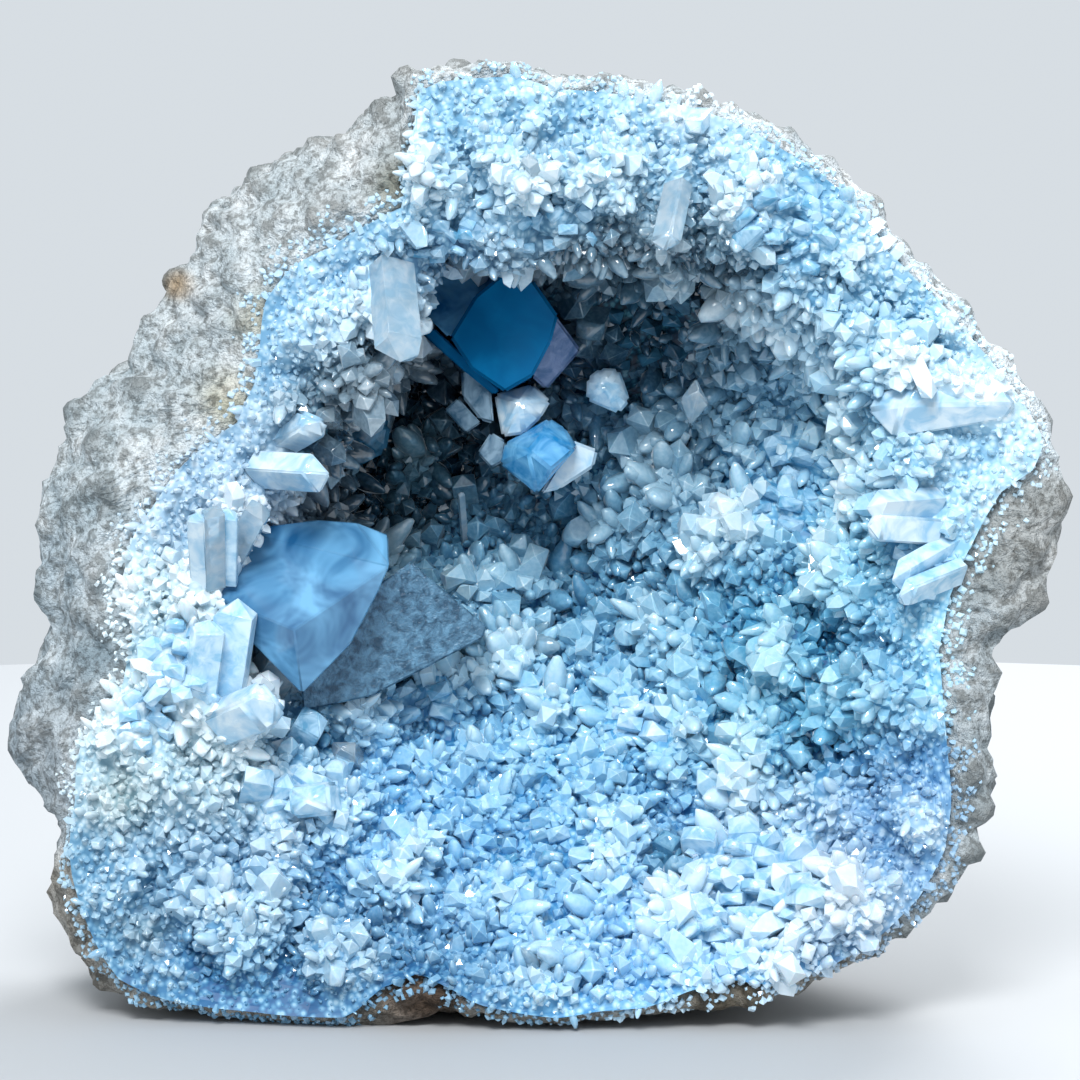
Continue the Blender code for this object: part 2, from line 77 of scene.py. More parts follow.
# Edge of the stone: pixel across, pixel down, depth
outlineReadings = [
    (397, 98, 20), (400, 75, 15), (440, 70, 14), (480, 66, 14), (520, 65, 14), (560, 78, 14),
    (620, 83, 15), (660, 90, 16), (700, 98, 17), (740, 112, 18), (780, 133, 18), (820, 158, 18),
    (855, 185, 17), (880, 215, 17), (900, 245, 16), (930, 275, 16), (960, 305, 15), (985, 335, 15),
    (1010, 365, 15), (1035, 400, 14), (1052, 435, 14), (1062, 470, 14), (1065, 500, 14),
    (1062, 530, 14), (1052, 560, 14), (1040, 590, 15), (1025, 620, 15), (1000, 637, 15),
    (993, 650, 14), (992, 700, 14), (992, 740, 13), (990, 775, 13), (985, 810, 12), (975, 850, 12),
    (955, 885, 12), (925, 915, 12), (880, 950, 11), (830, 975, 10), (790, 990, 10), (760, 1000, 9),
    (700, 1010, 9), (640, 1015, 9), (600, 1018, 9), (560, 1025, 9), (520, 1020, 9), (480, 1012, 9),
    (450, 1010, 10), (420, 1018, 10), (370, 1028, 12), (320, 1027, 14), (250, 1020, 18),
    (190, 1010, 20), (140, 1000, 22), (110, 990, 24), (85, 960, 26), (65, 935, 28), (52, 895, 30),
    (55, 860, 30), (60, 825, 30), (45, 800, 30), (25, 780, 30), (12, 745, 30), (13, 715, 31),
    (25, 690, 32), (30, 668, 32), (45, 655, 32), (50, 625, 33), (45, 600, 33), (42, 560, 33),
    (38, 530, 34), (42, 485, 34), (60, 465, 34), (68, 430, 34), (75, 410, 34), (85, 398, 34),
    (105, 375, 34), (130, 372, 34), (135, 345, 34), (150, 318, 34), (170, 298, 33), (172, 275, 32),
    (190, 260, 32), (200, 235, 31), (215, 205, 30), (250, 185, 28), (280, 165, 26), (320, 150, 24),
    (345, 140, 22), (370, 115, 21),
]

# Line where the crystals stop and bare rock begins: pixel across, pixel down
borderReadings = [
    (418, 90), (412, 150), (402, 205), (368, 222), (330, 245), (290, 265), (262, 300), (256, 345),
    (250, 385), (232, 425), (195, 452), (170, 475), (150, 505), (127, 540), (115, 590), (128, 640),
    (118, 690), (92, 722), (72, 760), (72, 805), (66, 840), (68, 875), (80, 915), (98, 955),
    (118, 982), (160, 1000), (250, 1011), (350, 1014), (380, 985), (420, 968), (455, 985),
    (485, 1003), (560, 1014), (640, 1004), (690, 985), (730, 974), (765, 980), (830, 962),
    (880, 932), (920, 893), (944, 850), (952, 800), (948, 750), (944, 700), (940, 650), (950, 600),
    (965, 560), (985, 520), (1003, 490), (1036, 468), (1046, 440), (1024, 400), (1000, 369),
    (975, 339), (950, 309), (920, 280), (890, 250), (870, 220), (845, 191), (811, 164), (773, 141),
    (735, 120), (697, 106), (657, 98), (620, 91), (560, 86), (520, 73), (480, 74), (440, 79),
]

# Section of the hollow in sixteen directions: picture radius and depth at the deep bend, the wall,
# the throat and the lip, then the depth of the crystal face and of the rock at the border
hollowSections = [
    (184, 60, 401, 38, 422, 22, 441, 11, 9, 12),
    (149, 60, 332, 36, 366, 22, 396, 13, 10, 13),
    (134, 60, 294, 36, 291, 22, 303, 12, 8, 13),
    (116, 62, 231, 38, 219, 22, 223, 12, 8, 12),
    (112, 64, 209, 38, 194, 24, 198, 13, 8, 11),
    (80, 66, 153, 40, 146, 26, 156, 16, 12, 14),
    (66, 68, 119, 44, 109, 28, 116, 16, 13, 17),
    (73, 68, 139, 46, 122, 30, 125, 18, 15, 19),
    (76, 68, 138, 46, 118, 30, 120, 20, 17, 20),
    (88, 66, 194, 42, 211, 30, 220, 20, 16, 20),
    (111, 64, 250, 38, 294, 26, 322, 16, 12, 16),
    (124, 64, 260, 40, 321, 27, 371, 19, 13, 12),
    (145, 60, 290, 42, 394, 27, 476, 15, 8, 7),
    (150, 62, 300, 44, 420, 28, 504, 15, 8, 7),
    (168, 62, 323, 42, 444, 28, 538, 16, 8, 9),
    (176, 58, 365, 32, 423, 22, 470, 13, 9, 12),
]


def linearFromHex(text):
    channels = [int(text[i:i + 2], 16) / 255 for i in (1, 3, 5)]
    return [c / 12.92 if c <= 0.04045 else ((c + 0.055) / 1.055) ** 2.4 for c in channels]


def colourOf(text):
    return (*linearFromHex(text), 1)


# From 0 to 1 between two heights
def rampTo(values, low, high):
    return np.clip((values - low) / (high - low), 0, 1)


# From the smallest share to 1
def shareBetween(ramp, smallest):
    return smallest + (1 - smallest) * ramp


def viewScale(depth):
    return (reading["eyeDistance"] + frontPlane + depth - reading["aimPoint"][1]) / focal


def fromPicture(across, down, depth):
    tilt = reading["eyeTilt"]
    forward = (0, math.cos(tilt), -math.sin(tilt))
    upward = (0, math.sin(tilt), math.cos(tilt))
    eye = [reading["aimPoint"][i] - forward[i] * reading["eyeDistance"] for i in range(3)]
    side = (across - reading["halfPicture"]) / focal
    rise = (reading["halfPicture"] - down) / focal
    ray = (side, forward[1] + upward[1] * rise, forward[2] + upward[2] * rise)
    reach = (frontPlane + depth - eye[1]) / ray[1]
    return Vector((eye[0] + ray[0] * reach, frontPlane + depth, eye[2] + ray[2] * reach))


def toPicture(points):
    tilt = reading["eyeTilt"]
    forward = np.array((0, math.cos(tilt), -math.sin(tilt)))
    upward = np.array((0, math.sin(tilt), math.cos(tilt)))
    eye = np.array(reading["aimPoint"]) - forward * reading["eyeDistance"]
    away = points - eye
    ahead = away @ forward
    across = reading["halfPicture"] + focal * away[:, 0] / ahead
    down = reading["halfPicture"] - focal * (away @ upward) / ahead
    return np.stack([across, down], axis=1)


def polarTable(points):
    turned = []
    for point in points:
        x = point[0] - mouthAxis[0]
        z = point[2] - mouthAxis[1]
        turned.append((math.degrees(math.atan2(z, x)) % 360, math.hypot(x, z), point[1] - frontPlane))
    return np.array(sorted(turned))


def roundTable(angles, table):
    return [np.interp(angles, table[:, 0], table[:, i], period=360) for i in (1, 2)]


def smoothAround(angles, values):
    count = len(values)
    place = angles / 360 * count
    low = np.floor(place).astype(int)
    t = place - low
    picked = [values[(low + step) % count] for step in (-1, 0, 1, 2)]
    a = 2 * picked[1]
    b = picked[2] - picked[0]
    c = 2 * picked[0] - 5 * picked[1] + 4 * picked[2] - picked[3]
    d = 3 * picked[1] - picked[0] - 3 * picked[2] + picked[3]
    return 0.5 * (a + b * t + c * t * t + d * t * t * t)


def ringsBetween(stations, steps):
    stations = np.array(stations)
    padded = np.concatenate([stations[:1], stations, stations[-1:]])
    rings = []
    for index, count in enumerate(steps):
        before, start, end, after = padded[index:index + 4]
        for step in range(count):
            t = step / count
            curve = 2 * start + (end - before) * t
            curve = curve + (2 * before - 5 * start + 4 * end - after) * t * t
            curve = curve + (3 * start - before - 3 * end + after) * t ** 3
            rings.append(0.5 * curve)
    rings.append(stations[-1])
    return rings


def placeRing(ring, angles):
    turn = np.radians(angles)
    x = mouthAxis[0] + ring[0] * np.cos(turn)
    z = mouthAxis[1] + ring[0] * np.sin(turn)
    return np.stack([x, frontPlane + ring[1], z], axis=1)


def ringNormals(rings):
    grid = np.array(rings)
    along = np.gradient(grid, axis=0)
    around = np.roll(grid, -1, axis=1) - np.roll(grid, 1, axis=1)
    normals = np.cross(around, along)
    normals /= np.maximum(np.linalg.norm(normals, axis=2, keepdims=True), 1e-9)
    return normals


def lumpAt(point, size, seedShift):
    place = Vector(point) / size + Vector((seedShift, seedShift * 1.7, 0))
    return noise.noise(place) + 0.45 * noise.noise(place * 2.3)


def readStone(segments):
    angles = np.arange(segments) * 360 / segments
    outline = polarTable([fromPicture(*place) for place in outlineReadings])
    edgeRadius, edgeDepth = roundTable(angles, outline)
    sections = np.array(hollowSections, float)
    around = [smoothAround(angles, sections[:, i]) for i in range(sections.shape[1])]
    border = polarTable([fromPicture(*place, 12) for place in borderReadings])
    borderRadius = np.minimum(roundTable(angles, border)[0], edgeRadius - 1.6)
    borderDepth = np.minimum(around[9], edgeDepth - 1)
    zero = np.zeros(segments)
    hollow = [np.array([zero, zero + stone["hollowDepth"]])]
    for i in (0, 2, 4, 6):
        hollow.append(np.array([around[i] * viewScale(around[i + 1]), around[i + 1]]))
    lip = hollow[-1]
    lip[0] = np.minimum(lip[0], borderRadius - 5.5)
    hollow[-2][0] = np.minimum(hollow[-2][0], lip[0] + 1)
    hollow.append(np.array([(lip[0] + borderRadius) / 2, around[8]]))
    hollow.append(np.array([borderRadius - 0.5, borderDepth - 2.2]))
    room = borderRadius - lip[0]
    bed = [np.array([zero, zero + stone["hollowDepth"] + stone["crustAtPole"]])]
    bed.append(hollow[1] + np.array([zero + 3, zero + 9]))
    bed.append(hollow[2] + np.array([zero + 9, zero + 4]))
    bed.append(hollow[3] + np.array([np.minimum(zero + 10, room * 0.30 + 3), zero + 4]))
    bed.append(lip + np.array([np.minimum(zero + 8, room * 0.35), zero + 8]))
    bed.append(hollow[5] + np.array([np.minimum(zero + 3, room * 0.2), zero + 6]))
    bed.append(np.array([borderRadius, borderDepth]))
    return angles, hollow, bed, (edgeRadius, edgeDepth)


def netFromRings(firstPole, rings, lastPole):
    count = len(rings)
    segments = len(rings[0])
    places = np.concatenate([[firstPole], np.concatenate(rings), [lastPole]])
    faces = []
    last = len(places) - 1
    for j in range(segments):
        k = (j + 1) % segments
        faces.append((0, 1 + k, 1 + j))
        for i in range(count - 1):
            low = 1 + i * segments
            high = low + segments
            faces.append((low + j, low + k, high + k, high + j))
        low = 1 + (count - 1) * segments
        faces.append((low + j, low + k, last))
    return places, faces


def placed(name, data):
    made = bpy.data.objects.new(name, data)
    bpy.context.scene.collection.objects.link(made)
    return made


def meshObject(name, places, faces, material):
    mesh = bpy.data.meshes.new(name)
    mesh.from_pydata(((np.array(places) + np.array(settled)) * mm).tolist(), [], faces)
    mesh.update()
    shape = bmesh.new()
    shape.from_mesh(mesh)
    bmesh.ops.recalc_face_normals(shape, faces=shape.faces[:])
    shape.to_mesh(mesh)
    shape.free()
    mesh.materials.append(material)
    return placed(name, mesh)


def paintPoints(made, name, values):
    kind = "FLOAT" if np.ndim(values) == 1 else "FLOAT_COLOR"
    attribute = made.data.attributes.new(name, kind, "POINT")
    if kind == "FLOAT":
        attribute.data.foreach_set("value", np.asarray(values, np.float32))
        return
    full = np.ones((len(values), 4), np.float32)
    full[:, :3] = values
    attribute.data.foreach_set("color", full.ravel())


# A socket is linked, any other value is set on the input of that name or on the node itself
def setUp(tree, node, settings):
    for name, value in settings.items():
        if isinstance(value, bpy.types.NodeSocket):
            tree.links.new(value, node.inputs[name])
        elif isinstance(name, int) or name in node.inputs:
            node.inputs[name].default_value = value
        else:
            setattr(node, name, value)
    return node


def addNode(tree, kind, settings):
    return setUp(tree, tree.nodes.new(kind), settings)


def attributeOf(tree, name, output="Fac"):
    return addNode(tree, "ShaderNodeAttribute", {"attribute_name": name}).outputs[output]


def noiseOf(tree, place, size, detail, roughness=0.5, distortion=0):
    return addNode(tree, "ShaderNodeTexNoise", {
        "Vector": place, "Scale": 1 / (size * mm), "Detail": detail, "Roughness": roughness,
        "Distortion": distortion,
    }).outputs["Fac"]


def rangeOf(tree, source, low, high, start=0, end=1):
    return addNode(tree, "ShaderNodeMapRange", {
        "Value": source, "From Min": low, "From Max": high, "To Min": start, "To Max": end,
    }).outputs["Result"]


def mathOf(tree, operation, first, second):
    return addNode(tree, "ShaderNodeMath", {"operation": operation, 0: first, 1: second}).outputs["Value"]


def gammaOf(tree, colour, gamma):
    return addNode(tree, "ShaderNodeGamma", {"Color": colour, "Gamma": gamma}).outputs["Color"]


def mixOf(tree, share, low, high, blend="MIX"):
    return addNode(tree, "ShaderNodeMix", {
        "data_type": "RGBA", "blend_type": blend, 0: share, 6: low, 7: high,
    }).outputs[2]


def bumpOf(tree, height, strength, distance):
    return addNode(tree, "ShaderNodeBump", {
        "Strength": strength, "Distance": distance * mm, "Height": height,
    }).outputs["Normal"]


def newMaterial(name):
    material = bpy.data.materials.new(name)
    material.use_nodes = True
    tree = material.node_tree
    place = addNode(tree, "ShaderNodeTexCoord", {}).outputs["Object"]
    return material, tree, tree.nodes["Principled BSDF"], place


# Chalky broken limestone: off-white grains, painted shade in the pits where the rock is sunk, the stains of
# its zone and a dusty matt face
def rockMaterial():
    material, tree, shader, place = newMaterial("Weathered limestone")
    clouds = rangeOf(tree, noiseOf(tree, place, 9, 2, 0.62), 0.3, 0.7, 1.5, 0.55)
    base = gammaOf(tree, attributeOf(tree, "tint", "Color"), clouds)
    grains = rangeOf(tree, noiseOf(tree, place, 1.5, 2, 0.7), 0.36, 0.56)
    chalk = mathOf(tree, "SUBTRACT", grains, attributeOf(tree, "pitShade"))
    chalkClearOfPitShade = addNode(tree, "ShaderNodeClamp", {"Value": chalk}).outputs["Result"]
    # Painted shade: the rock is darkened where its surface is sunk into pits
    pitShaded = mixOf(tree, 0.65, base, colourOf("#6c675f"), "MULTIPLY")
    setUp(tree, shader, {
        "Base Color": mixOf(tree, chalkClearOfPitShade, pitShaded, base),
        "Roughness": 0.9,
        "Specular IOR Level": 0.25,
        "Normal": bumpOf(tree, noiseOf(tree, place, 1.2, 3, 0.75), 1, 1.5),
    })
    return material


# The sugary root of the crust, seen in the gaps between crystals: deep blue where they are large and pale as
# frost where they are fine, the deep blue partly painted shade in the gaps
def bedMaterial():
    material, tree, shader, place = newMaterial("Sugary celestite root")
    grains = addNode(tree, "ShaderNodeTexVoronoi", {"Vector": place, "Scale": 1 / (1.2 * mm)})
    both = mathOf(tree, "ADD", grains.outputs["Distance"], noiseOf(tree, place, 2.2, 1))
    # Painted shade between the grains: the root darkens towards the edge of each grain, with random patches
    # from the noise
    depth = rangeOf(tree, both, 0.65, 1.2, 0.55, 1.7)
    setUp(tree, shader, {
        "Base Color": gammaOf(tree, attributeOf(tree, "rootTint", "Color"), depth),
        "Roughness": 0.5,
    })
    return material


# Small glossy crystals in the blue of their zone, paler towards the tip and along the worn, bevelled edges as
# a painted highlight, and milkier in specks and patches
def druseMaterial(name, roughness, palest, deepest, fringe, glow):
    material, tree, shader, place = newMaterial(name)
    # Painted highlight: the tip and the bevelled edges are painted paler
    milkAndHighlight = mathOf(tree, "MULTIPLY", mathOf(tree, "POWER", attributeOf(tree, "tip"), 3), 0.3)
    specks = rangeOf(tree, noiseOf(tree, place, 0.8, 1), 0.36, 0.64)
    patches = rangeOf(tree, noiseOf(tree, place, 7, 1), 0.36, 0.64)
    variation = attributeOf(tree, "variation")
    edge = attributeOf(tree, "edge")
    for source, share in ((variation, 0.15), (edge, 0.3), (specks, 0.35), (patches, 0.35)):
        milkAndHighlight = mathOf(tree, "ADD", milkAndHighlight, mathOf(tree, "MULTIPLY", source, share))
    gamma = rangeOf(tree, milkAndHighlight, 0.15, 1.05, deepest, palest)
    setUp(tree, shader, {
        "Base Color": gammaOf(tree, attributeOf(tree, "tint", "Color"), gamma),
        "Roughness": roughness,
        "Specular IOR Level": 0.9,
        "IOR": celestiteIndex,
        "Sheen Weight": fringe,
        "Sheen Roughness": 0.2,
        "Sheen Tint": colourOf("#eaf7ff"),
        "Subsurface Weight": glow,
        "Subsurface Radius": (0.5, 0.85, 1),
        "Subsurface Scale": 1.2 * mm,
    })
    return material


def zoneTints(places, posts):
    flat = toPicture(places)
    total = np.zeros((len(places), 3))
    weights = np.full(len(places), 1e-6)
    for group in posts.values():
        for across, down, reach, colour, weight in group:
            gap = np.hypot(flat[:, 0] - across, flat[:, 1] - down) / reach
            pull = weight * np.exp(-gap ** 2 * 1.5)
            total += pull[:, None] * np.array(linearFromHex(colour))
            weights += pull
    return total / weights[:, None]


print("stage: shapes of the stone")
rock = rockMaterial()
bedLook = bedMaterial()

# Colour of the rock by place: middle pixel, reach in pixels, colour, weight
rockZones = {
    "chalk": [(250, 230, 160, "#cbd4d8", 1), (110, 430, 120, "#c2cdd2", 1), (60, 600, 90, "#b3c1c9", 1),
              (700, 60, 260, "#cdd6db", 1), (1000, 720, 160, "#b9c2c6", 1), (540, -200, 400, "#bcbebb", 0.3)],
    "blue grey": [(110, 650, 60, "#a9b6bd", 1.2), (60, 740, 50, "#b1bcc3", 1.2),
                  (160, 570, 40, "#8ea3b1", 1.2)],
    "rim frost": [(640, 85, 50, "#e6eef2", 2), (740, 110, 50, "#e6eef2", 2), (860, 190, 55, "#e6eef3", 2),
                  (950, 290, 55, "#e4edf2", 2), (1040, 400, 45, "#e4edf2", 2)],
    "olive": [(265, 320, 26, "#a8a58d", 2), (230, 400, 26, "#b2ae96", 2), (400, 190, 26, "#9c9c90", 2)],
    "brown": [(425, 990, 34, "#6e5d50", 6), (728, 985, 32, "#7c7466", 6), (178, 285, 12, "#b09a7c", 5)],
    "right foot": [(1020, 550, 60, "#b4b7b6", 1.2), (540, 1060, 240, "#a8a6a0", 0.8)],
}

# Skin of the rock, in mm: the ridges and chips stand out by craggy and chips, the bare band is crested, the
# back drifts to a softer outline and sinks to the flat spot at the rates given, the stains fade
# between two depths behind the front, and single crystals stray over the rock as far as sugarReach
outside = {
    "segments": 480,
    "backRings": 84,
    "faceRings": 20,
    "craggy": 1.9,
    "ridgeSize": 6.5,
    "roughSize": 2.6,
    "chips": 0.8,
    "chipSize": 3.4,
    "fineSize": 1.2,
    "stainFrom": 38,
    "stainTo": 56,
    "backColour": "#bcc4c7",
    "sugarReach": 7,
    "driftRate": 2.4,
    "loweringRate": 2.6,
    "backCrowding": 1.25,
    "lumpsFrom": 0.18,
    "crestShare": 0.16,
    "crestHeight": 4,
}


def softened(ring, spread):
    total = np.zeros_like(ring)
    weights = 0
    for step in range(-3 * spread, 3 * spread + 1):
        weight = math.exp(-0.5 * (step / spread) ** 2)
        total += np.roll(ring, step, axis=0) * weight
        weights += weight
    return total / weights


def outsideRings(angles, edge, backTurns):
    squareness = 2 / stone["backSquareness"]
    rim = placeRing(np.array(edge), angles)
    under = np.clip(-np.sin(np.radians(angles)), 0, 1) ** 5
    soft = softened(rim, round(3 * len(angles) / 72))
    rings = [rim]
    for turn in backTurns:
        quarter = turn * math.pi / 2
        share = math.cos(quarter) ** squareness
        reach = math.sin(quarter) ** squareness
        drift = min(1, turn * outside["driftRate"])
        line = rim * (1 - drift) + soft * drift
        ring = np.empty_like(rim)
        ring[:, 0] = stone["backCentre"][0] + (line[:, 0] - stone["backCentre"][0]) * share
        ring[:, 2] = stone["backCentre"][1] + (line[:, 2] - stone["backCentre"][1]) * share
        lowering = math.sin(min(1, turn * outside["loweringRate"]) * math.pi / 2) * share ** 0.4
        ring[:, 2] -= under * stone["baseLow"] * lowering
        ring[:, 1] = rim[:, 1] + (frontPlane + stone["backDepth"] - rim[:, 1]) * reach
        rings.append(ring)
    return rings


def craggyAt(place):
    ridge = 1 - abs(noise.noise(place / outside["ridgeSize"] + Vector((4, 1, 7)))) * 2.2
    small = noise.noise(place / outside["roughSize"])
    chip = noise.voronoi(place / outside["chipSize"])[0][0]
    fine = noise.noise(place / outside["fineSize"])
    rough = outside["craggy"] * (0.8 * ridge + 0.45 * small - 0.5)
    return rough + outside["chips"] * (0.9 - 1.6 * chip) + 0.22 * fine


def makeRock():
    segments = outside["segments"]
    angles, hollow, bed, edge = readStone(segments)
    bedRings = [placeRing(ring, angles) for ring in ringsBetween(bed, stone["bedSteps"])]
    bedPole = bedRings[0][0]
    bedRings = bedRings[1:]
    backTurns = [(i + 1) / (outside["backRings"] + 1) for i in range(outside["backRings"])]
    backTurns = [turn ** outside["backCrowding"] for turn in backTurns]
    back = outsideRings(angles, edge, backTurns)
    face = []
    width = np.linalg.norm(back[0] - bedRings[-1], axis=1)
    for step in range(1, outside["faceRings"]):
        share = step / outside["faceRings"]
        ring = bedRings[-1] * (1 - share) + back[0] * share
        crest = math.sin(share * math.pi)
        ring[:, 1] -= np.minimum(width * outside["crestShare"], outside["crestHeight"]) * crest
        for j in range(segments):
            ledge = min(width[j] * outside["crestShare"], stone["ledgeHeight"]) * crest
            ring[j, 1] += lumpAt(ring[j], stone["ledgeSize"], 9.2) * ledge
        face.append(ring)
    normals = ringNormals(back)
    lumped = [back[0]]
    for index in range(1, len(back)):
        strength = min(1, backTurns[index - 1] / outside["lumpsFrom"])
        moved = back[index].copy()
        for j in range(segments):
            height = lumpAt(moved[j], stone["lumpSize"], 3.1) * stone["lumpHeight"] * strength
            height *= min(1, max(0.15, (moved[j][2] + 2) / 22))
            moved[j] = moved[j] + normals[index][j] * height
        lumped.append(moved)
    outer = face + lumped
    normals = ringNormals([bedRings[-1]] + outer)[1:]
    pitShades = []
    for index, ring in enumerate(outer):
        fade = min(1, (index + 1) / 5)
        away = normals[index]
        pitShades.append([])
        for j in range(segments):
            lift = craggyAt(Vector(ring[j])) * fade
            # Painted shade in the pits: the deeper the rock is sunk here, the darker it is painted
            pitShades[-1].append(min(1, max(0, -0.15 - 0.55 * lift)))
            lift *= min(1, max(0, (ring[j][2] - 0.3) / 3))
            ring[j] = ring[j] + away[j] * lift
    backPole = (stone["backCentre"][0], frontPlane + stone["backDepth"], stone["backCentre"][1])
    for ring in outer:
        ring[:, 2] = np.maximum(ring[:, 2], 0)
    places, faces = netFromRings(bedPole, bedRings + outer, backPole)
    made = meshObject("LimestoneShell", places, faces, rock)
    depth = places[:, 1] - frontPlane
    behind = rampTo(depth, outside["stainFrom"], outside["stainTo"])[:, None]
    plain = np.array(linearFromHex(outside["backColour"]))
    paintPoints(made, "tint", zoneTints(places, rockZones) * (1 - behind) + plain * behind)
    depths = [0] * (1 + len(bedRings) * segments)
    depths += [depth for ring in pitShades for depth in ring] + [0]
    paintPoints(made, "pitShade", depths)
    border = np.zeros(len(places))
    for index, ring in enumerate(face):
        first = 1 + (len(bedRings) + index) * segments
        gap = np.linalg.norm(ring - bedRings[-1], axis=1)
        border[first:first + segments] = np.clip(1 - gap / outside["sugarReach"], 0, 1)
    return made, border


shell, border = makeRock()
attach(shell, "root")
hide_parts("rock_shell")
print("stage: rock", len(shell.data.polygons))

# Skin of the crust, in mm: steps are the rings of each stretch from the deepest spot out to the border, the
# mounds calm down over the rings next to the border and the deepest spot, the crystals shrink towards the
# border and below footTo, and none grow below bareFrom
crust = {
    "segments": 300,
    "steps": (10, 14, 14, 8, 12, 10),
    "clumpSize": 15,
    "moundSize": 8,
    "clumpHeight": 6.5,
    "knobSize": 4.5,
    "knobHeight": 0.6,
    "gapShadeTeal": "#2b7f9e",
    "edgePull": 0.008,
    "edgeCalm": 8,
    "poleCalm": 4,
    "borderShare": 0.62,
    "footShare": 0.5,
    "footFrom": 3,
    "footTo": 9,
    "bareFrom": 1.5,
    "bareTo": 3,
}

# Colour of the crystals by zone: middle pixel, reach in pixels, colour, weight. The cave, back wall and pit
# colours are the blue of the crust darkened by painted shade deep in the hollow, under the lip and in the
# gaps
zones = {
    "rim ice": [(620, 120, 230, "#a7cbdf", 1), (880, 300, 170, "#a9d0e4", 1), (980, 430, 110, "#bcdaea", 1)],
    "rim edge": [(700, 90, 60, "#e2eef4", 1.4), (900, 240, 50, "#deecf4", 1.4),
                 (1010, 380, 55, "#e2f0f7", 1.4)],
    "left rim": [(330, 330, 90, "#a9cbe0", 1), (230, 480, 70, "#b0c9db", 1)],
    # Painted shade: near black blues deep in the hollow and under the overhanging lip
    "cave": [(400, 430, 75, "#042639", 6), (470, 300, 60, "#1f5f86", 1.4), (660, 310, 80, "#14425c", 4),
             (570, 300, 45, "#14425c", 3),
             (595, 280, 42, "#103850", 6), (650, 292, 46, "#0f364c", 9), (705, 300, 40, "#174560", 6)],
    # Painted shade: grey blues darkened towards the back of the hollow
    "back wall": [(640, 440, 140, "#4a7f9f", 1.2), (560, 560, 110, "#568eae", 1.1),
                  (760, 350, 80, "#6f9fbc", 1)],
    "right wall": [(790, 450, 110, "#a8daf2", 1.3), (860, 430, 40, "#74b0cc", 1.2),
                   (930, 620, 80, "#b5dff2", 1)],
    "floor": [(560, 700, 150, "#84bfde", 1.2), (780, 660, 110, "#559ec1", 1.3),
              (860, 560, 60, "#4c9fc2", 1.6), (800, 650, 60, "#3f8cb2", 1.6)],
    "front": [(480, 860, 180, "#92c6e6", 1), (700, 930, 110, "#b5dcf5", 1.1),
              (420, 990, 90, "#588bb0", 1.3), (330, 960, 60, "#588bb0", 1.5)],
    "lower right": [(900, 840, 80, "#84aed0", 1.5), (860, 930, 70, "#97b7d2", 1.3),
                    (770, 880, 60, "#e2f3fc", 3)],
    "milky left": [(190, 740, 120, "#d0e2e9", 1.7), (120, 800, 30, "#b3bdb8", 1.5),
                   (150, 930, 25, "#b5bdb8", 1.2), (130, 880, 90, "#8fb7cf", 1.2),
                   (220, 920, 90, "#5a95bd", 1.6)],
    # Painted shade: deeper blue in a deep gap between the crystals
    "pitShade": [(672, 862, 22, "#2477a0", 6), (300, 730, 40, "#3f93bb", 2)],
}

# Size of the crystals by zone: middle pixel, reach in pixels, size, weight
sizeZones = [
    (190, 760, 140, 1.0, 1.2), (180, 940, 140, 1.0, 1), (480, 110, 120, 0.85, 1), (700, 110, 120, 0.9, 1),
    (1000, 420, 90, 0.7, 1), (960, 600, 80, 0.7, 1), (910, 830, 80, 0.55, 1.2), (300, 320, 80, 0.75, 1),
    (220, 470, 60, 0.75, 1), (340, 980, 100, 0.85, 1), (640, 340, 90, 1.7, 1.6), (400, 420, 80, 1.4, 1),
    (560, 590, 100, 1.4, 1), (660, 450, 110, 1.4, 1), (820, 440, 130, 1.1, 1), (740, 740, 150, 1.15, 1),
    (520, 860, 150, 1.15, 1), (760, 880, 80, 1.5, 1.3), (850, 240, 70, 1.1, 1), (560, 220, 60, 0.9, 1.6),
    (430, 250, 50, 0.9, 1.4), (640, 236, 36, 0.7, 5), (710, 244, 36, 0.7, 5),
]


def zoneSizes(places):
    flat = toPicture(places)
    total = np.zeros(len(places))
    weights = np.full(len(places), 1e-6)
    for across, down, reach, size, weight in sizeZones:
        pull = weight * np.exp(-1.5 * (np.hypot(flat[:, 0] - across, flat[:, 1] - down) / reach) ** 2)
        total += pull * size
        weights += pull
    return total / weights


# Without a seed, noise_vector takes its offsets from the clock
noise.seed_set(1)


# Rounded mounds with narrow creases between them, from about -0.5 in a crease to 0.5 on a crown
def moundAt(place):
    warp = noise.noise_vector(place / 17) * 4
    wide = abs(noise.noise((place + warp) / crust["clumpSize"] + Vector((3, 9, 5))))
    small = abs(noise.noise((place - warp) / crust["moundSize"] + Vector((8, 2, 6))))
    return min(0.6, 1.5 * wide + 0.8 * small - 0.55)


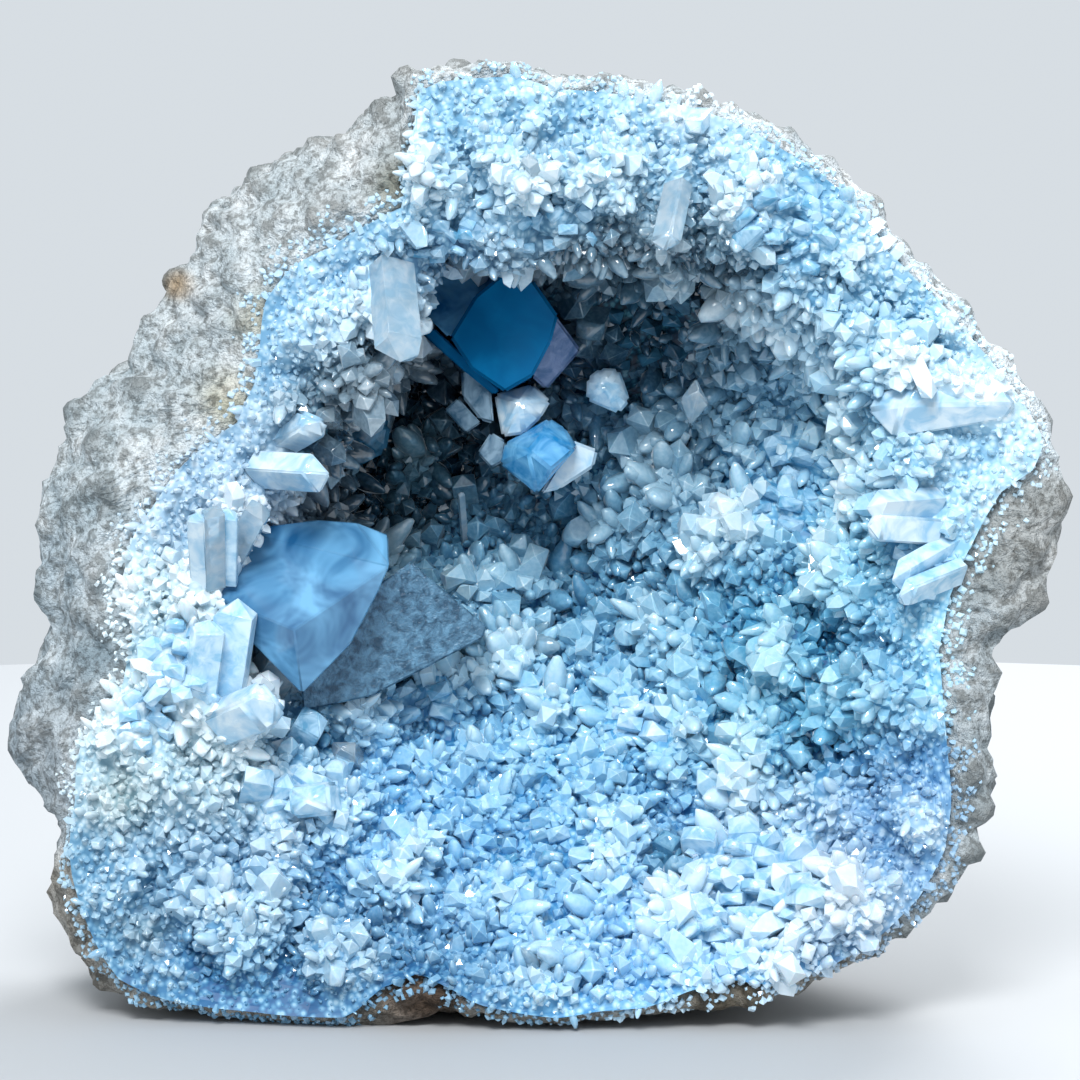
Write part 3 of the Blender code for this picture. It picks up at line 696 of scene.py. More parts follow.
def makeCrust():
    segments = crust["segments"]
    angles, hollow, bed, edge = readStone(segments)
    bedRings = [placeRing(ring, angles) for ring in ringsBetween(bed, stone["bedSteps"])]
    bedPole = bedRings[0][0]
    bedRings = bedRings[1:]
    normals = ringNormals([np.repeat(bedPole[None], segments, axis=0)] + bedRings)[1:]
    gap = stone["settingGap"]
    under = []
    for ring, normal in zip(bedRings, normals):
        under.append(ring - normal * gap * (1 if np.mean(normal[:, 1]) > 0 else -1))
    under[-1] = bedRings[-1].copy()
    for side, middle in ((0, mouthAxis[0]), (2, mouthAxis[1])):
        under[-1][:, side] += (middle - under[-1][:, side]) * crust["edgePull"]
    under[-1][:, 1] -= gap
    over = [placeRing(ring, angles) for ring in ringsBetween(hollow, crust["steps"])]
    overPole = over[0][0]
    over = over[1:]
    normals = ringNormals([np.repeat(overPole[None], segments, axis=0)] + over)[1:]
    inward = np.sign(-np.mean(normals[0][:, 1]))
    heights = []
    for index, (ring, normal) in enumerate(zip(over, normals)):
        fade = min(1, (len(over) - 1 - index) / crust["edgeCalm"]) * min(1, (index + 1) / crust["poleCalm"])
        heights.append(np.array([moundAt(Vector(place)) for place in ring]))
        knobs = np.array([noise.noise(Vector(place) / crust["knobSize"]) for place in ring])
        lift = crust["clumpHeight"] * heights[-1] + crust["knobHeight"] * knobs
        ring += normal * inward * lift[:, None] * fade
    over = over[::-1]
    heights = heights[::-1]
    places, faces = netFromRings(bedPole - np.array([0, gap, 0]), under + over, overPole)
    made = meshObject("CrystalCrustRoot", places, faces, bedLook)
    grow = np.zeros(len(places))
    grow[1 + len(under) * segments:] = 1
    size = zoneSizes(places)
    for step in range(crust["steps"][-1]):
        first = 1 + (len(under) + step) * segments
        size[first:first + segments] *= shareBetween(step / crust["steps"][-1], crust["borderShare"])
    rise = np.zeros(len(places))
    rise[1 + len(under) * segments:-1] = np.concatenate(heights)
    rise = np.clip(rise, -0.6, 0.6)
    size *= 1 + 0.5 * rise
    size *= shareBetween(rampTo(places[:, 2], crust["footFrom"], crust["footTo"]), crust["footShare"])
    paintPoints(made, "grow", grow * rampTo(places[:, 2], crust["bareFrom"], crust["bareTo"]))
    paintPoints(made, "size", size)
    tints = zoneTints(places, zones)
    # Painted shade and light: the crystals' blue is deepened in the creases between mounds and paled on their
    # crowns
    paintPoints(made, "tint", tints ** (1 - rise)[:, None])
    # The root is the crystals' blue, painted deeper as shade in the gaps between large crystals and in the
    # creases, and mixed towards teal where it is deepest
    rootDepth = np.interp(zoneSizes(places), (0.75, 1.05, 1.4), (0.85, 1.05, 1.5)) - 0.6 * rise
    shade = np.clip((rootDepth - 0.7) / 2.5, 0, 0.5)[:, None]
    teal = np.array(linearFromHex(crust["gapShadeTeal"]))
    paintPoints(made, "rootTint", tints ** rootDepth[:, None] * (1 - shade) + shade * teal)
    return made


crustRoot = makeCrust()
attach(crustRoot, "root")
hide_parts("crystal_crust")
print("stage: crust", len(crustRoot.data.polygons))

# Crystal habits: stubby prisms with a dome or wedge end, and rounder ones worn by etching
habits = {
    "count": 14,
    "seed": 31,
    "thickness": (0.55, 0.9),
    "height": (1.5, 2.5),
    "sugarHeight": (1.0, 1.6),
    "bevel": 0.1,
    "sunk": 0.6,
    "sides": 6,
}


def slicedPrism(width, thickness, height, slices):
    shape = bmesh.new()
    bmesh.ops.create_cube(shape, size=1)
    bmesh.ops.scale(shape, vec=(width, thickness, height), verts=shape.verts)
    bmesh.ops.translate(shape, vec=(0, 0, height / 2), verts=shape.verts)
    for turn, slope, peak in slices:
        tilt = math.radians(slope)
        spin = math.radians(turn)
        normal = (math.cos(spin) * math.sin(tilt), math.sin(spin) * math.sin(tilt), math.cos(tilt))
        cut = bmesh.ops.bisect_plane(
            shape, geom=shape.verts[:] + shape.edges[:] + shape.faces[:], dist=1e-6,
            plane_co=(0, 0, height * peak), plane_no=normal, clear_outer=True,
        )
        rims = [item for item in cut["geom_cut"] if isinstance(item, bmesh.types.BMEdge)]
        if rims:
            bmesh.ops.holes_fill(shape, edges=rims, sides=0)
    bmesh.ops.recalc_face_normals(shape, faces=shape.faces[:])
    return shape


def hullOf(points):
    shape = bmesh.new()
    for point in points:
        shape.verts.new(point)
    hull = bmesh.ops.convex_hull(shape, input=shape.verts[:])
    inner = [item for item in hull["geom_interior"] if isinstance(item, bmesh.types.BMVert)]
    bmesh.ops.delete(shape, geom=inner, context="VERTS")
    return shape


def wearEdges(shape, edges, offset, rounds):
    worn = bmesh.ops.bevel(shape, geom=edges, offset=offset, segments=rounds, affect="EDGES",
                           clamp_overlap=True)
    for face in worn["faces"]:
        face.smooth = True
    return worn["faces"]


# A point worn round by etching: rings of a lens section that close in a blunt or a sharp tip
def roundedPoint(dice, height, thickness):
    blunt = dice.uniform(0.06, 0.2)
    start = dice.uniform(0, math.tau)
    points = []
    for share, width in ((0, 0.42), (0.55, 0.5), (0.8, 0.38), (1, blunt)):
        for step in range(habits["sides"]):
            turn = start + math.tau * (step + dice.uniform(-0.12, 0.12)) / habits["sides"]
            reach = width * dice.uniform(0.9, 1.08)
            points.append((math.cos(turn) * reach, math.sin(turn) * reach * thickness,
                           height * share + dice.uniform(-0.05, 0.05)))
    shape = hullOf(points + [(0, 0, height * 1.04)])
    bmesh.ops.dissolve_limit(shape, angle_limit=math.radians(7), verts=shape.verts[:], edges=shape.edges[:])
    bmesh.ops.recalc_face_normals(shape, faces=shape.faces[:])
    for face in shape.faces:
        face.smooth = True
    return shape


def makeHabits(name, worn, bevel, heights):
    dice = random.Random(habits["seed"])
    shelf = bpy.data.collections.new(name)
    for number in range(habits["count"]):
        slope = dice.uniform(36, 58)
        lean = dice.uniform(-12, 12)
        height = dice.uniform(*heights)
        thickness = dice.uniform(*habits["thickness"])
        if worn and number % 2:
            shape = roundedPoint(dice, height, thickness)
        else:
            slices = [(0, slope + lean, 1), (180, slope - lean, 1),
                      (90, dice.uniform(44, 62), 1.0), (270, dice.uniform(44, 62), 1.0)]
            if number % 4 == 2:
                slices.append((dice.uniform(0, 360), dice.uniform(62, 74), 0.98))
            shape = slicedPrism(1, thickness, height, slices)
        edges = [edge for edge in shape.edges if min(vertex.co.z for vertex in edge.verts) > 0.05 * height]
        wornFaces = set()
        if bevel and not number % 2:
            faces = wearEdges(shape, edges, bevel, 1)
            shape.faces.index_update()
            wornFaces = {face.index for face in faces}
        bmesh.ops.translate(shape, vec=(0, 0, -habits["sunk"]), verts=shape.verts)
        mesh = bpy.data.meshes.new(f"{name} {number}")
        shape.to_mesh(mesh)
        shape.free()
        top = max(vertex.co.z for vertex in mesh.vertices)
        # Painted highlight: tip and edge mark where the druse is painted paler, towards the tip and on the
        # bevelled faces
        tip = mesh.attributes.new("tip", "FLOAT", "POINT")
        tip.data.foreach_set("value", [max(0, vertex.co.z / top) for vertex in mesh.vertices])
        edge = mesh.attributes.new("edge", "FLOAT", "FACE")
        edge.data.foreach_set("value", [1.0 if face.index in wornFaces else 0.0 for face in mesh.polygons])
        shelf.objects.link(bpy.data.objects.new(f"{name} {number}", mesh))
    return shelf


shelf = makeHabits("Crystal habits", True, habits["bevel"], habits["height"])
sugarShelf = makeHabits("Sugar habits", False, 0.0, habits["sugarHeight"])


# Points strewn over the ground no closer than the spacing, and on each a crystal of a random kind, turn,
# lean and size, most of them small
def druseTree():
    tree = bpy.data.node_groups.new("Crystals grown on a crust", "GeometryNodeTree")
    tree.interface.new_socket("Geometry", in_out="OUTPUT", socket_type="NodeSocketGeometry")
    kinds = {"Geometry": "Geometry", "Habits": "Collection", "Look": "Material", "Seed": "Int"}
    for name in ("Spacing", "Density", "Smallest", "Largest", "Lean", "Towards Mouth"):
        kinds[name] = "Float"
    for name, kind in kinds.items():
        tree.interface.new_socket(name, in_out="INPUT", socket_type="NodeSocket" + kind)
    given = tree.nodes.new("NodeGroupInput").outputs

    def read(name):
        settings = {"data_type": "FLOAT", "Name": name}
        return addNode(tree, "GeometryNodeInputNamedAttribute", settings).outputs["Attribute"]

    def drawn(kind, output, settings):
        settings = {"data_type": kind, "Seed": given["Seed"], **settings}
        return addNode(tree, "FunctionNodeRandomValue", settings).outputs[output]

    def vector(operation, settings):
        return addNode(tree, "ShaderNodeVectorMath", {"operation": operation, **settings}).outputs["Vector"]

    spread = addNode(tree, "GeometryNodeDistributePointsOnFaces", {
        "distribute_method": "POISSON", "Mesh": given["Geometry"], "Distance Min": given["Spacing"],
        "Density Max": given["Density"], "Density Factor": read("grow"), "Seed": given["Seed"]})
    stored = addNode(tree, "GeometryNodeStoreNamedAttribute", {
        "data_type": "FLOAT", "domain": "POINT", "Name": "variation", "Geometry": spread.outputs["Points"],
        "Value": drawn("FLOAT", 1, {})})
    scatter = drawn("FLOAT_VECTOR", 0, {0: (-1, -1, -1), 1: (1, 1, 1)})
    leaning = vector("SCALE", {0: scatter, "Scale": given["Lean"]})
    tipped = vector("ADD", {0: spread.outputs["Normal"], 1: leaning})
    front = vector("SCALE", {0: (0, -1, 0.15), "Scale": given["Towards Mouth"]})
    aimed = vector("ADD", {0: tipped, 1: front})
    stand = addNode(tree, "FunctionNodeAlignRotationToVector", {"axis": "Z", "Vector": aimed})
    turn = drawn("FLOAT", 1, {3: 6.283})
    spin = addNode(tree, "FunctionNodeAxisAngleToRotation", {"Axis": (0, 0, 1), "Angle": turn})
    both = addNode(tree, "FunctionNodeRotateRotation", {
        "rotation_space": "LOCAL", 0: stand.outputs[0], 1: spin.outputs[0]})
    mostlySmall = mathOf(tree, "POWER", drawn("FLOAT", 1, {}), 2.2)
    size = addNode(tree, "ShaderNodeMapRange", {
        "Value": mostlySmall, "To Min": given["Smallest"], "To Max": given["Largest"]})
    bring = addNode(tree, "GeometryNodeCollectionInfo", {
        "Separate Children": True, "Reset Children": True, "Collection": given["Habits"]})
    place = addNode(tree, "GeometryNodeInstanceOnPoints", {
        "Pick Instance": True, "Points": stored.outputs["Geometry"], "Instance": bring.outputs[0],
        "Rotation": both.outputs[0], "Scale": mathOf(tree, "MULTIPLY", size.outputs["Result"], read("size"))})
    real = addNode(tree, "GeometryNodeRealizeInstances", {"Geometry": place.outputs["Instances"]})
    look = addNode(tree, "GeometryNodeSetMaterial", {
        "Geometry": real.outputs["Geometry"], "Material": given["Look"]})
    addNode(tree, "NodeGroupOutput", {"Geometry": look.outputs["Geometry"]})
    return tree


growth = druseTree()
soil = placed("CrustSoil", crustRoot.data.copy())


# Grows one size of crystal on a copy of the ground, whose grow values the mask thins out
def growDruse(name, look, settings, mask, kinds, ground):
    source = placed(name + "Soil", ground.data.copy())
    if mask is not None:
        old = np.empty(len(source.data.vertices), np.float32)
        source.data.attributes["grow"].data.foreach_get("value", old)
        source.data.attributes["grow"].data.foreach_set("value", (old * mask).astype(np.float32))
    modifier = source.modifiers.new("Growth", "NODES")
    modifier.node_group = growth
    sockets = {item.name: item.identifier for item in growth.interface.items_tree if item.in_out == "INPUT"}
    for key, value in {"Habits": kinds, "Look": look, **settings}.items():
        modifier[sockets[key]] = value
    bpy.context.view_layer.update()
    graph = bpy.context.evaluated_depsgraph_get()
    mesh = bpy.data.meshes.new_from_object(source.evaluated_get(graph))
    for vertex in mesh.vertices:
        vertex.co.z = max(0, vertex.co.z)
    made = placed(name, mesh)
    bpy.data.objects.remove(source, do_unlink=True)
    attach(made, "root")
    mesh.calc_loop_triangles()
    print("stage:", name, len(mesh.loop_triangles), "triangles")


# Blocky crystals: the corners of the face turned to the viewer (pixel across, pixel down, depth),
# the depth that they reach back to and how much wider they are there
blocks = {
    "HangingBlueBlock": {"look": "deepBlue", "bevel": 0.5, "back": 66, "wider": 1.06, "faces": [[
        (450, 337, 37), (475, 296, 37), (501, 275, 36), (533, 280, 33), (558, 316, 31), (551, 342, 31),
        (533, 376, 33), (505, 392, 35), (471, 369, 37)]]},
    "HangingBlockSide": {"look": "skyDeep", "bevel": 0.4, "back": 64, "wider": 1.0, "faces": [[
        (406, 287, 46), (421, 310, 45), (449, 338, 41), (476, 296, 41), (500, 276, 42), (447, 268, 50)]]},
    "VioletShoulder": {"look": "violetClear", "bevel": 0.5, "back": 66, "wider": 1.0, "faces": [[
        (556, 316, 35), (581, 350, 41), (546, 390, 41), (531, 376, 36)]]},
    "DarkSliver": {"look": "deepBlue", "bevel": 0.3, "back": 56, "wider": 0.9, "faces": [[
        (422, 334, 43), (434, 328, 43), (473, 366, 40), (500, 390, 39), (494, 395, 40), (464, 371, 42)]]},
    "PaleBlock": {"look": "paleClear", "bevel": 0.5, "back": 62, "wider": 1.0, "faces": [[
        (494, 394, 42), (533, 384, 41), (551, 401, 41), (541, 418, 38), (524, 434, 37), (502, 437, 39)],
        [(520, 402, 36)]]},
    "GreyBlock": {"look": "greyClear", "bevel": 0.5, "back": 62, "wider": 1.0, "faces": [[
        (461, 370, 46), (474, 368, 44), (491, 391, 41), (494, 424, 41), (480, 420, 43), (462, 397, 45)]]},
    "ThinPlate": {"look": "greyClear", "bevel": 0.3, "back": 58, "wider": 0.95, "faces": [[
        (444, 410, 48), (458, 398, 46), (481, 423, 43), (466, 433, 45)]]},
    "BrightBlueBlock": {"look": "brightBlue", "bevel": 0.5, "back": 62, "wider": 1.02, "faces": [[
        (505, 443, 40), (532, 431, 37), (549, 418, 38), (565, 428, 37), (578, 447, 37), (551, 475, 36),
        (537, 494, 37), (500, 464, 38)], [(544, 432, 33), (575, 450, 33), (551, 470, 31), (528, 451, 32)]]},
    "MilkyShoulder": {"look": "paleClear", "bevel": 0.5, "back": 62, "wider": 1.0, "faces": [[
        (572, 440, 39), (598, 450, 40), (594, 467, 39), (560, 489, 38), (540, 494, 39), (556, 470, 36)]]},
    "GreyCube": {"look": "greyClear", "bevel": 0.4, "back": 60, "wider": 1.0, "faces": [[
        (477, 453, 44), (491, 432, 42), (506, 441, 40), (503, 462, 41), (491, 468, 42)]]},
    "WhiteBlock": {"look": "milky", "bevel": 0.6, "back": 66, "wider": 1.0, "faces": [[
        (587, 378, 45), (600, 368, 45), (619, 369, 44), (626, 387, 44), (630, 401, 45), (619, 414, 45),
        (603, 404, 44), (586, 400, 45)], [(607, 385, 41)]]},
    "LeftSkyBlueCrystal": {"look": "skyMilky", "bevel": 0.35, "back": 42, "wider": 0.9, "faces": [
        [(203, 592, 17), (210, 566, 20), (238, 530, 24), (318, 520, 24), (357, 523, 23), (388, 535, 20),
         (389, 566, 16), (294, 630, 10), (251, 608, 13)],
        [(389, 566, 16), (294, 630, 10), (302, 694, 15), (350, 645, 15), (378, 592, 16)]]},
    "FrostedGreyCrystal": {"look": "frosted", "bevel": 0.3, "back": 50, "wider": 0.95, "faces": [[
        (411, 562, 27), (487, 626, 30), (483, 638, 30), (432, 653, 29), (372, 696, 27), (303, 711, 25),
        (301, 682, 25), (376, 586, 25)]]},
    "RightPalePrism": {"look": "paleClear", "bevel": 0.5, "back": 18, "wider": 1.0, "faces": [[
        (937, 357, 12), (990, 372, 10), (1016, 404, 8), (902, 405, 5), (925, 377, 9)],
        [(902, 405, 5), (1016, 404, 8), (1004, 420, 9), (942, 424, 7), (893, 439, 9)],
        [(866, 410, 10), (874, 397, 10)]]},
    # Painted shade: the cave block takes the darkened dim look
    "CaveBlock": {"look": "dim", "bevel": 0.8, "back": 72, "wider": 1.0, "faces": [[
        (318, 424, 47), (338, 404, 46), (372, 402, 45), (391, 425, 46), (386, 452, 47), (352, 470, 48),
        (326, 455, 48)], [(352, 428, 42)]]},
    "GlintCrystal": {"look": "clear", "bevel": 0.3, "back": 48, "wider": 1.1, "faces": [[
        (680, 400, 34), (696, 378, 32), (709, 405, 32), (690, 425, 35)], [(699, 392, 29)]]},
}

# Single prisms: look, root pixel, tip pixel, length from the crust, width, flatness, roundness
prisms = [
    ("clear", (676, 196), (664, 252), 11, 4.4, 0.7, 0.3),
    ("clear", (392, 278), (400, 362), 16, 6.4, 0.7, 0.3),
    ("paleClear", (268, 470), (330, 474), 14, 5.4, 0.8, 0.42),
    ("paleClear", (292, 436), (322, 418), 9, 5.2, 0.8, 0.3),
    ("paleClear", (200, 575), (196, 512), 14, 3.0, 0.6, 0.2),
    ("clear", (214, 575), (213, 506), 15, 3.4, 0.6, 0.15),
    ("milky", (228, 572), (228, 508), 14, 3.2, 0.6, 0.15),
    ("clear", (240, 545), (262, 504), 11, 4.0, 0.7, 0.2),
    ("paleClear", (925, 505), (866, 508), 12, 4.8, 0.7, 0.32),
    ("paleClear", (925, 530), (866, 526), 12, 4.4, 0.7, 0.32),
    ("milky", (945, 550), (892, 580), 13, 4.6, 0.6, 0.25),
    ("milky", (950, 575), (898, 596), 12, 4.4, 0.6, 0.25),
    ("milky", (225, 690), (238, 598), 17, 6.6, 0.5, 0.32),
    ("milky", (200, 690), (210, 618), 14, 5.4, 0.6, 0.35),
    ("clear", (262, 690), (293, 640), 14, 6.6, 0.7, 0.35),
    ("paleClear", (230, 720), (278, 700), 13, 7.0, 0.8, 0.45),
    ("skyPale", (300, 740), (318, 712), 9, 5.0, 0.8, 0.3),
    ("milky", (318, 800), (305, 800), 8, 7.0, 0.8, 0.45),
    ("clear", (350, 760), (340, 748), 7, 4.4, 0.8, 0.3), ("milky", (255, 792), (262, 770), 8, 5.0, 0.6, 0.3),
    ("clear", (465, 545), (461, 492), 13, 1.1, 0.8, 0.1),
    ("milky", (700, 850), (698, 826), 7, 6.0, 0.45, 0.35),
    ("clear", (330, 420), (322, 412), 6, 3.4, 0.8, 0.3),
    ("paleClear", (700, 120), (690, 132), 5, 3.0, 0.8, 0.3),
]

# Bunches of milky crystals that fan out from one spot: look, pixel, reach in pixels, count, width, length
bunches = [
    ("milky", (765, 880), 52, 22, (3.6, 6.0), (8, 12)), ("milky", (700, 925), 30, 10, (3.0, 4.6), (6, 9)),
    ("milky", (185, 665), 42, 18, (2.6, 4.4), (6, 10)), ("milky", (640, 722), 26, 10, (3.0, 5.0), (6, 9)),
    ("milky", (150, 720), 34, 12, (2.4, 3.8), (5, 8)), ("milky", (300, 795), 30, 10, (3.0, 4.8), (5, 8)),
    ("skyPale", (560, 232), 44, 14, (2.4, 3.8), (5, 8)), ("skyPale", (450, 252), 36, 12, (2.4, 3.8), (5, 8)),
    ("skyPale", (790, 225), 50, 14, (3.0, 4.6), (6, 9)), ("milky", (925, 565), 30, 8, (2.4, 3.6), (5, 8)),
    # Painted shade: the bunch under the lip takes the darkened dim look
    ("dim", (640, 330), 56, 14, (3.4, 5.2), (6, 9)), ("skyPale", (430, 690), 40, 12, (2.6, 4.2), (5, 8)),
    ("skyPale", (780, 480), 50, 14, (2.8, 4.6), (6, 9)), ("skyPale", (540, 860), 50, 14, (2.8, 4.4), (5, 8)),
]


# Large crystal: veils and clouds of the pale tone drift through the deep one, and the skin of some is etched
def solidGlass(name, clearness, roughness, pale, deep, veilSize, etch=0, shine=0.5):
    material, tree, shader, place = newMaterial(name)
    veil = rangeOf(tree, noiseOf(tree, place, veilSize, 3, 0.55, 0.6), 0.36, 0.64)
    setUp(tree, shader, {
        "Base Color": mixOf(tree, veil, colourOf(deep), colourOf(pale)),
        "Roughness": roughness,
        "IOR": celestiteIndex,
        "Transmission Weight": clearness,
        "Specular IOR Level": shine,
    })
    if etch:
        setUp(tree, shader, {"Normal": bumpOf(tree, noiseOf(tree, place, 0.9, 2, 0.7), etch, 0.5)})
    return material


# Name, clearness, roughness, pale tone, deep tone, size of the veils in mm and strength of the etching
looks = {
    "deepBlue": solidGlass("Deep blue celestite", 0, 0.2, "#0d72a8", "#075e90", 9, shine=0.06),
    "skyDeep": solidGlass("Blue celestite side", 0, 0.1, "#5fa2cd", "#12598c", 7, shine=0.3),
    "brightBlue": solidGlass("Bright blue celestite", 0.1, 0.06, "#74bbe8", "#2484c2", 4),
    "skyMilky": solidGlass("Milky sky blue celestite", 0, 0.12, "#6ca8d0", "#164f7c", 10, shine=0.6),
    "skyPale": solidGlass("Pale sky blue celestite", 0, 0.08, "#b7dcf2", "#5d9fc4", 3),
    "violetClear": solidGlass("Violet grey celestite", 0.1, 0.15, "#7f8fb5", "#4a6690", 3, 0.2, shine=0.3),
    "frosted": solidGlass("Frosted grey celestite", 0, 0.4, "#5f8ba8", "#2a4d66", 1.8, 1, shine=0.35),
    "paleClear": solidGlass("Pale clear celestite", 0.15, 0.08, "#e2f3fc", "#9ccbe9", 4),
    "greyClear": solidGlass("Grey clear celestite", 0.15, 0.1, "#9dbdd3", "#4a7390", 3),
    "clear": solidGlass("Water clear celestite", 0.6, 0.04, "#e2f2fb", "#b4d9ee", 2.5),
    "milky": solidGlass("Milk white celestite", 0, 0.14, "#cfe8f7", "#8fc3e2", 3),
    # Painted shade: a darkened copy of the blue celestite for crystals in the shadow of the hollow
    "dim": solidGlass("Shaded blue celestite", 0, 0.2, "#3d7593", "#154058", 5, 0.2),
}


def finishCrystal(name, shape, look, bevel, rounds=2):
    bmesh.ops.recalc_face_normals(shape, faces=shape.faces[:])
    bmesh.ops.dissolve_limit(shape, angle_limit=math.radians(2), verts=shape.verts[:], edges=shape.edges[:])
    if bevel:
        wearEdges(shape, shape.edges[:], bevel * mm, rounds)
    mesh = bpy.data.meshes.new(name)
    shape.to_mesh(mesh)
    shape.free()
    mesh.materials.append(looks[look])
    made = placed(name, mesh)
    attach(made, "root")
    return made


# The corners of a face are brought onto one plane, fitted to their depths
def onOnePlane(corners):
    grid = np.array(corners, float)
    slope = np.linalg.lstsq(np.c_[grid[:, :2], np.ones(len(grid))], grid[:, 2], rcond=None)[0]
    return [(across, down, across * slope[0] + down * slope[1] + slope[2]) for across, down, depth in corners]


def makeBlocks():
    made = []
    for name, block in blocks.items():
        front = [corner for face in block["faces"] for corner in onOnePlane(face)]
        front = [(fromPicture(*corner) + settled) * mm for corner in front]
        middle = sum(front, Vector()) / len(front)
        rear = []
        for corner in block["faces"][0]:
            point = (fromPicture(corner[0], corner[1], block["back"]) + settled) * mm
            wide = middle + (point - middle) * block["wider"]
            rear.append(Vector((wide.x, point.y, wide.z)))
        made.append(finishCrystal(name, hullOf(front + rear), block["look"], block["bevel"]))
    return made


# Where the line of sight through a pixel meets the crust
def seenOnCrust(across, down):
    near = (fromPicture(across, down, -20) + settled) * mm
    far = (fromPicture(across, down, 90) + settled) * mm
    place, normal, face, reach = crustTree.ray_cast(near, (far - near).normalized())
    return place, normal if normal.y < 0 else -normal


def prismBetween(root, tip, width, flatness, dice):
    slope = dice.uniform(34, 46)
    lean = dice.uniform(-8, 8)
    slices = [(0, slope + lean, 1), (180, slope - lean, 1),
              (90, dice.uniform(50, 62), 1.0), (270, dice.uniform(50, 62), 1.0)]
    shape = slicedPrism(width, width * flatness, (tip - root).length, slices)
    turn = Vector((0, 0, 1)).rotation_difference((tip - root).normalized()).to_matrix().to_4x4()
    spin = Matrix.Rotation(dice.uniform(-0.5, 0.5), 4, "Z")
    bmesh.ops.transform(shape, matrix=Matrix.Translation(root) @ turn @ spin, verts=shape.verts)
    return shape


def makePrisms():
    dice = random.Random(3)
    made = []
    for number, (look, rootPixel, tipPixel, length, width, flatness, roundness) in enumerate(prisms):
        root, normal = seenOnCrust(*rootPixel)
        depth = (root.y - settled.y * mm) / mm - frontPlane
        tip = root
        while (tip - root).length < length * mm and depth > 0.5:
            depth -= 0.25
            tip = (fromPicture(*tipPixel, depth) + settled) * mm
        start = root - (tip - root).normalized() * 2.5 * mm
        shape = prismBetween(start, tip, width * mm, flatness, dice)
        made.append(finishCrystal(f"Prism{number:02d}", shape, look, width * roundness * 0.5, 3))
    return made


def makeBunches():
    dice = random.Random(8)
    made = []
    for number, (look, pixel, reach, count, widths, lengths) in enumerate(bunches):
        joined = bmesh.new()
        for step in range(count):
            turn = step * 2.4 + dice.uniform(-0.4, 0.4)
            far = reach * math.sqrt((step + 0.5) / count)
            spot = seenOnCrust(pixel[0] + far * math.cos(turn), pixel[1] + far * math.sin(turn))
            outward = Vector((math.cos(turn), 0, -math.sin(turn))) * far / reach * 0.7
            aim = (spot[1] * 0.6 + outward + Vector((0, -0.7, 0.15))).normalized()
            size = dice.uniform(*widths) * mm
            length = dice.uniform(*lengths) * mm * (1 - 0.35 * far / reach)
            shape = prismBetween(spot[0] - aim * 3 * mm, spot[0] + aim * (length - 3 * mm), size,
                                 dice.uniform(0.4, 0.75), dice)
            wearEdges(shape, shape.edges[:], size * 0.16, 2)
            single = bpy.data.meshes.new("single")
            shape.to_mesh(single)
            shape.free()
            joined.from_mesh(single)
            bpy.data.meshes.remove(single)
        made.append(finishCrystal(f"Bunch{number:02d}", joined, look, 0))
    return made


crustTree = BVHTree.FromObject(crustRoot, bpy.context.evaluated_depsgraph_get())


largeCrystals = makeBlocks() + makePrisms() + makeBunches()
print("stage: large crystals", len(largeCrystals))


# No small crystal grows where a large one stands
def clearOf(objects, reach):
    count = len(soil.data.vertices)
    mask = np.ones(count)
    graph = bpy.context.evaluated_depsgraph_get()
    for item in objects:
        tree = BVHTree.FromObject(item, graph)
        middle = sum((Vector(corner) for corner in item.bound_box), Vector()) / 8
        far = max((Vector(corner) - middle).length for corner in item.bound_box) + reach
        for vertex in soil.data.vertices:
            if mask[vertex.index] == 0 or (vertex.co - middle).length > far:
                continue
            place, normal, face, gap = tree.find_nearest(vertex.co)
            if gap < reach or (vertex.co - place).dot(normal) < 0:
                mask[vertex.index] = 0
    return mask


bpy.context.view_layer.update()
mask = clearOf(largeCrystals, 0.6 * mm)
print("stage: ground kept clear", int((mask == 0).sum()))
# Small crystals in four sizes, strewn with spacings that leave no bare root
druse = {
    "Large": {"Spacing": 5.0 * mm, "Density": 120000.0, "Smallest": 2.6 * mm, "Largest": 4.0 * mm,
              "Lean": 0.45, "Towards Mouth": 0.3, "Seed": 5},
    "Middle": {"Spacing": 1.95 * mm, "Density": 600000.0, "Smallest": 1.5 * mm, "Largest": 2.8 * mm,
               "Lean": 0.5, "Towards Mouth": 0.35, "Seed": 9},
    "Sugar": {"Spacing": 1.15 * mm, "Density": 1500000.0, "Smallest": 1.15 * mm, "Largest": 2.0 * mm,
              "Lean": 0.7, "Towards Mouth": 0.35, "Seed": 14},
    "Stray": {"Spacing": 0.9 * mm, "Density": 1800000.0, "Smallest": 0.8 * mm, "Largest": 1.6 * mm,
              "Lean": 0.8, "Towards Mouth": 0.5, "Seed": 23},
}

largeDruse = druseMaterial("Celestite points", 0.08, palest=0.6, deepest=1.05, fringe=0.5, glow=0.4)
middleDruse = druseMaterial("Glossy celestite druse", 0.08, palest=0.6, deepest=1.05, fringe=0.5, glow=0)
sugarDruse = druseMaterial("Milky celestite sugar", 0.1, palest=0.7, deepest=1.1, fringe=0, glow=0)


# Left and right halves, so that no piece grows too large
def sideOf(sign):
    places = np.empty(len(soil.data.vertices) * 3)
    soil.data.vertices.foreach_get("co", places)
    return (places.reshape(-1, 3)[:, 0] * sign > 0).astype(float)


growDruse("DruseLarge", largeDruse, druse["Large"], mask, shelf, soil)
for side, sign in (("Left", -1), ("Right", 1)):
    half = mask * sideOf(sign)
    growDruse("DruseMiddle" + side, middleDruse, druse["Middle"], half, shelf, soil)
    growDruse("DruseSugar" + side, sugarDruse, druse["Sugar"], half, sugarShelf, soil)
bpy.data.objects.remove(soil, do_unlink=True)


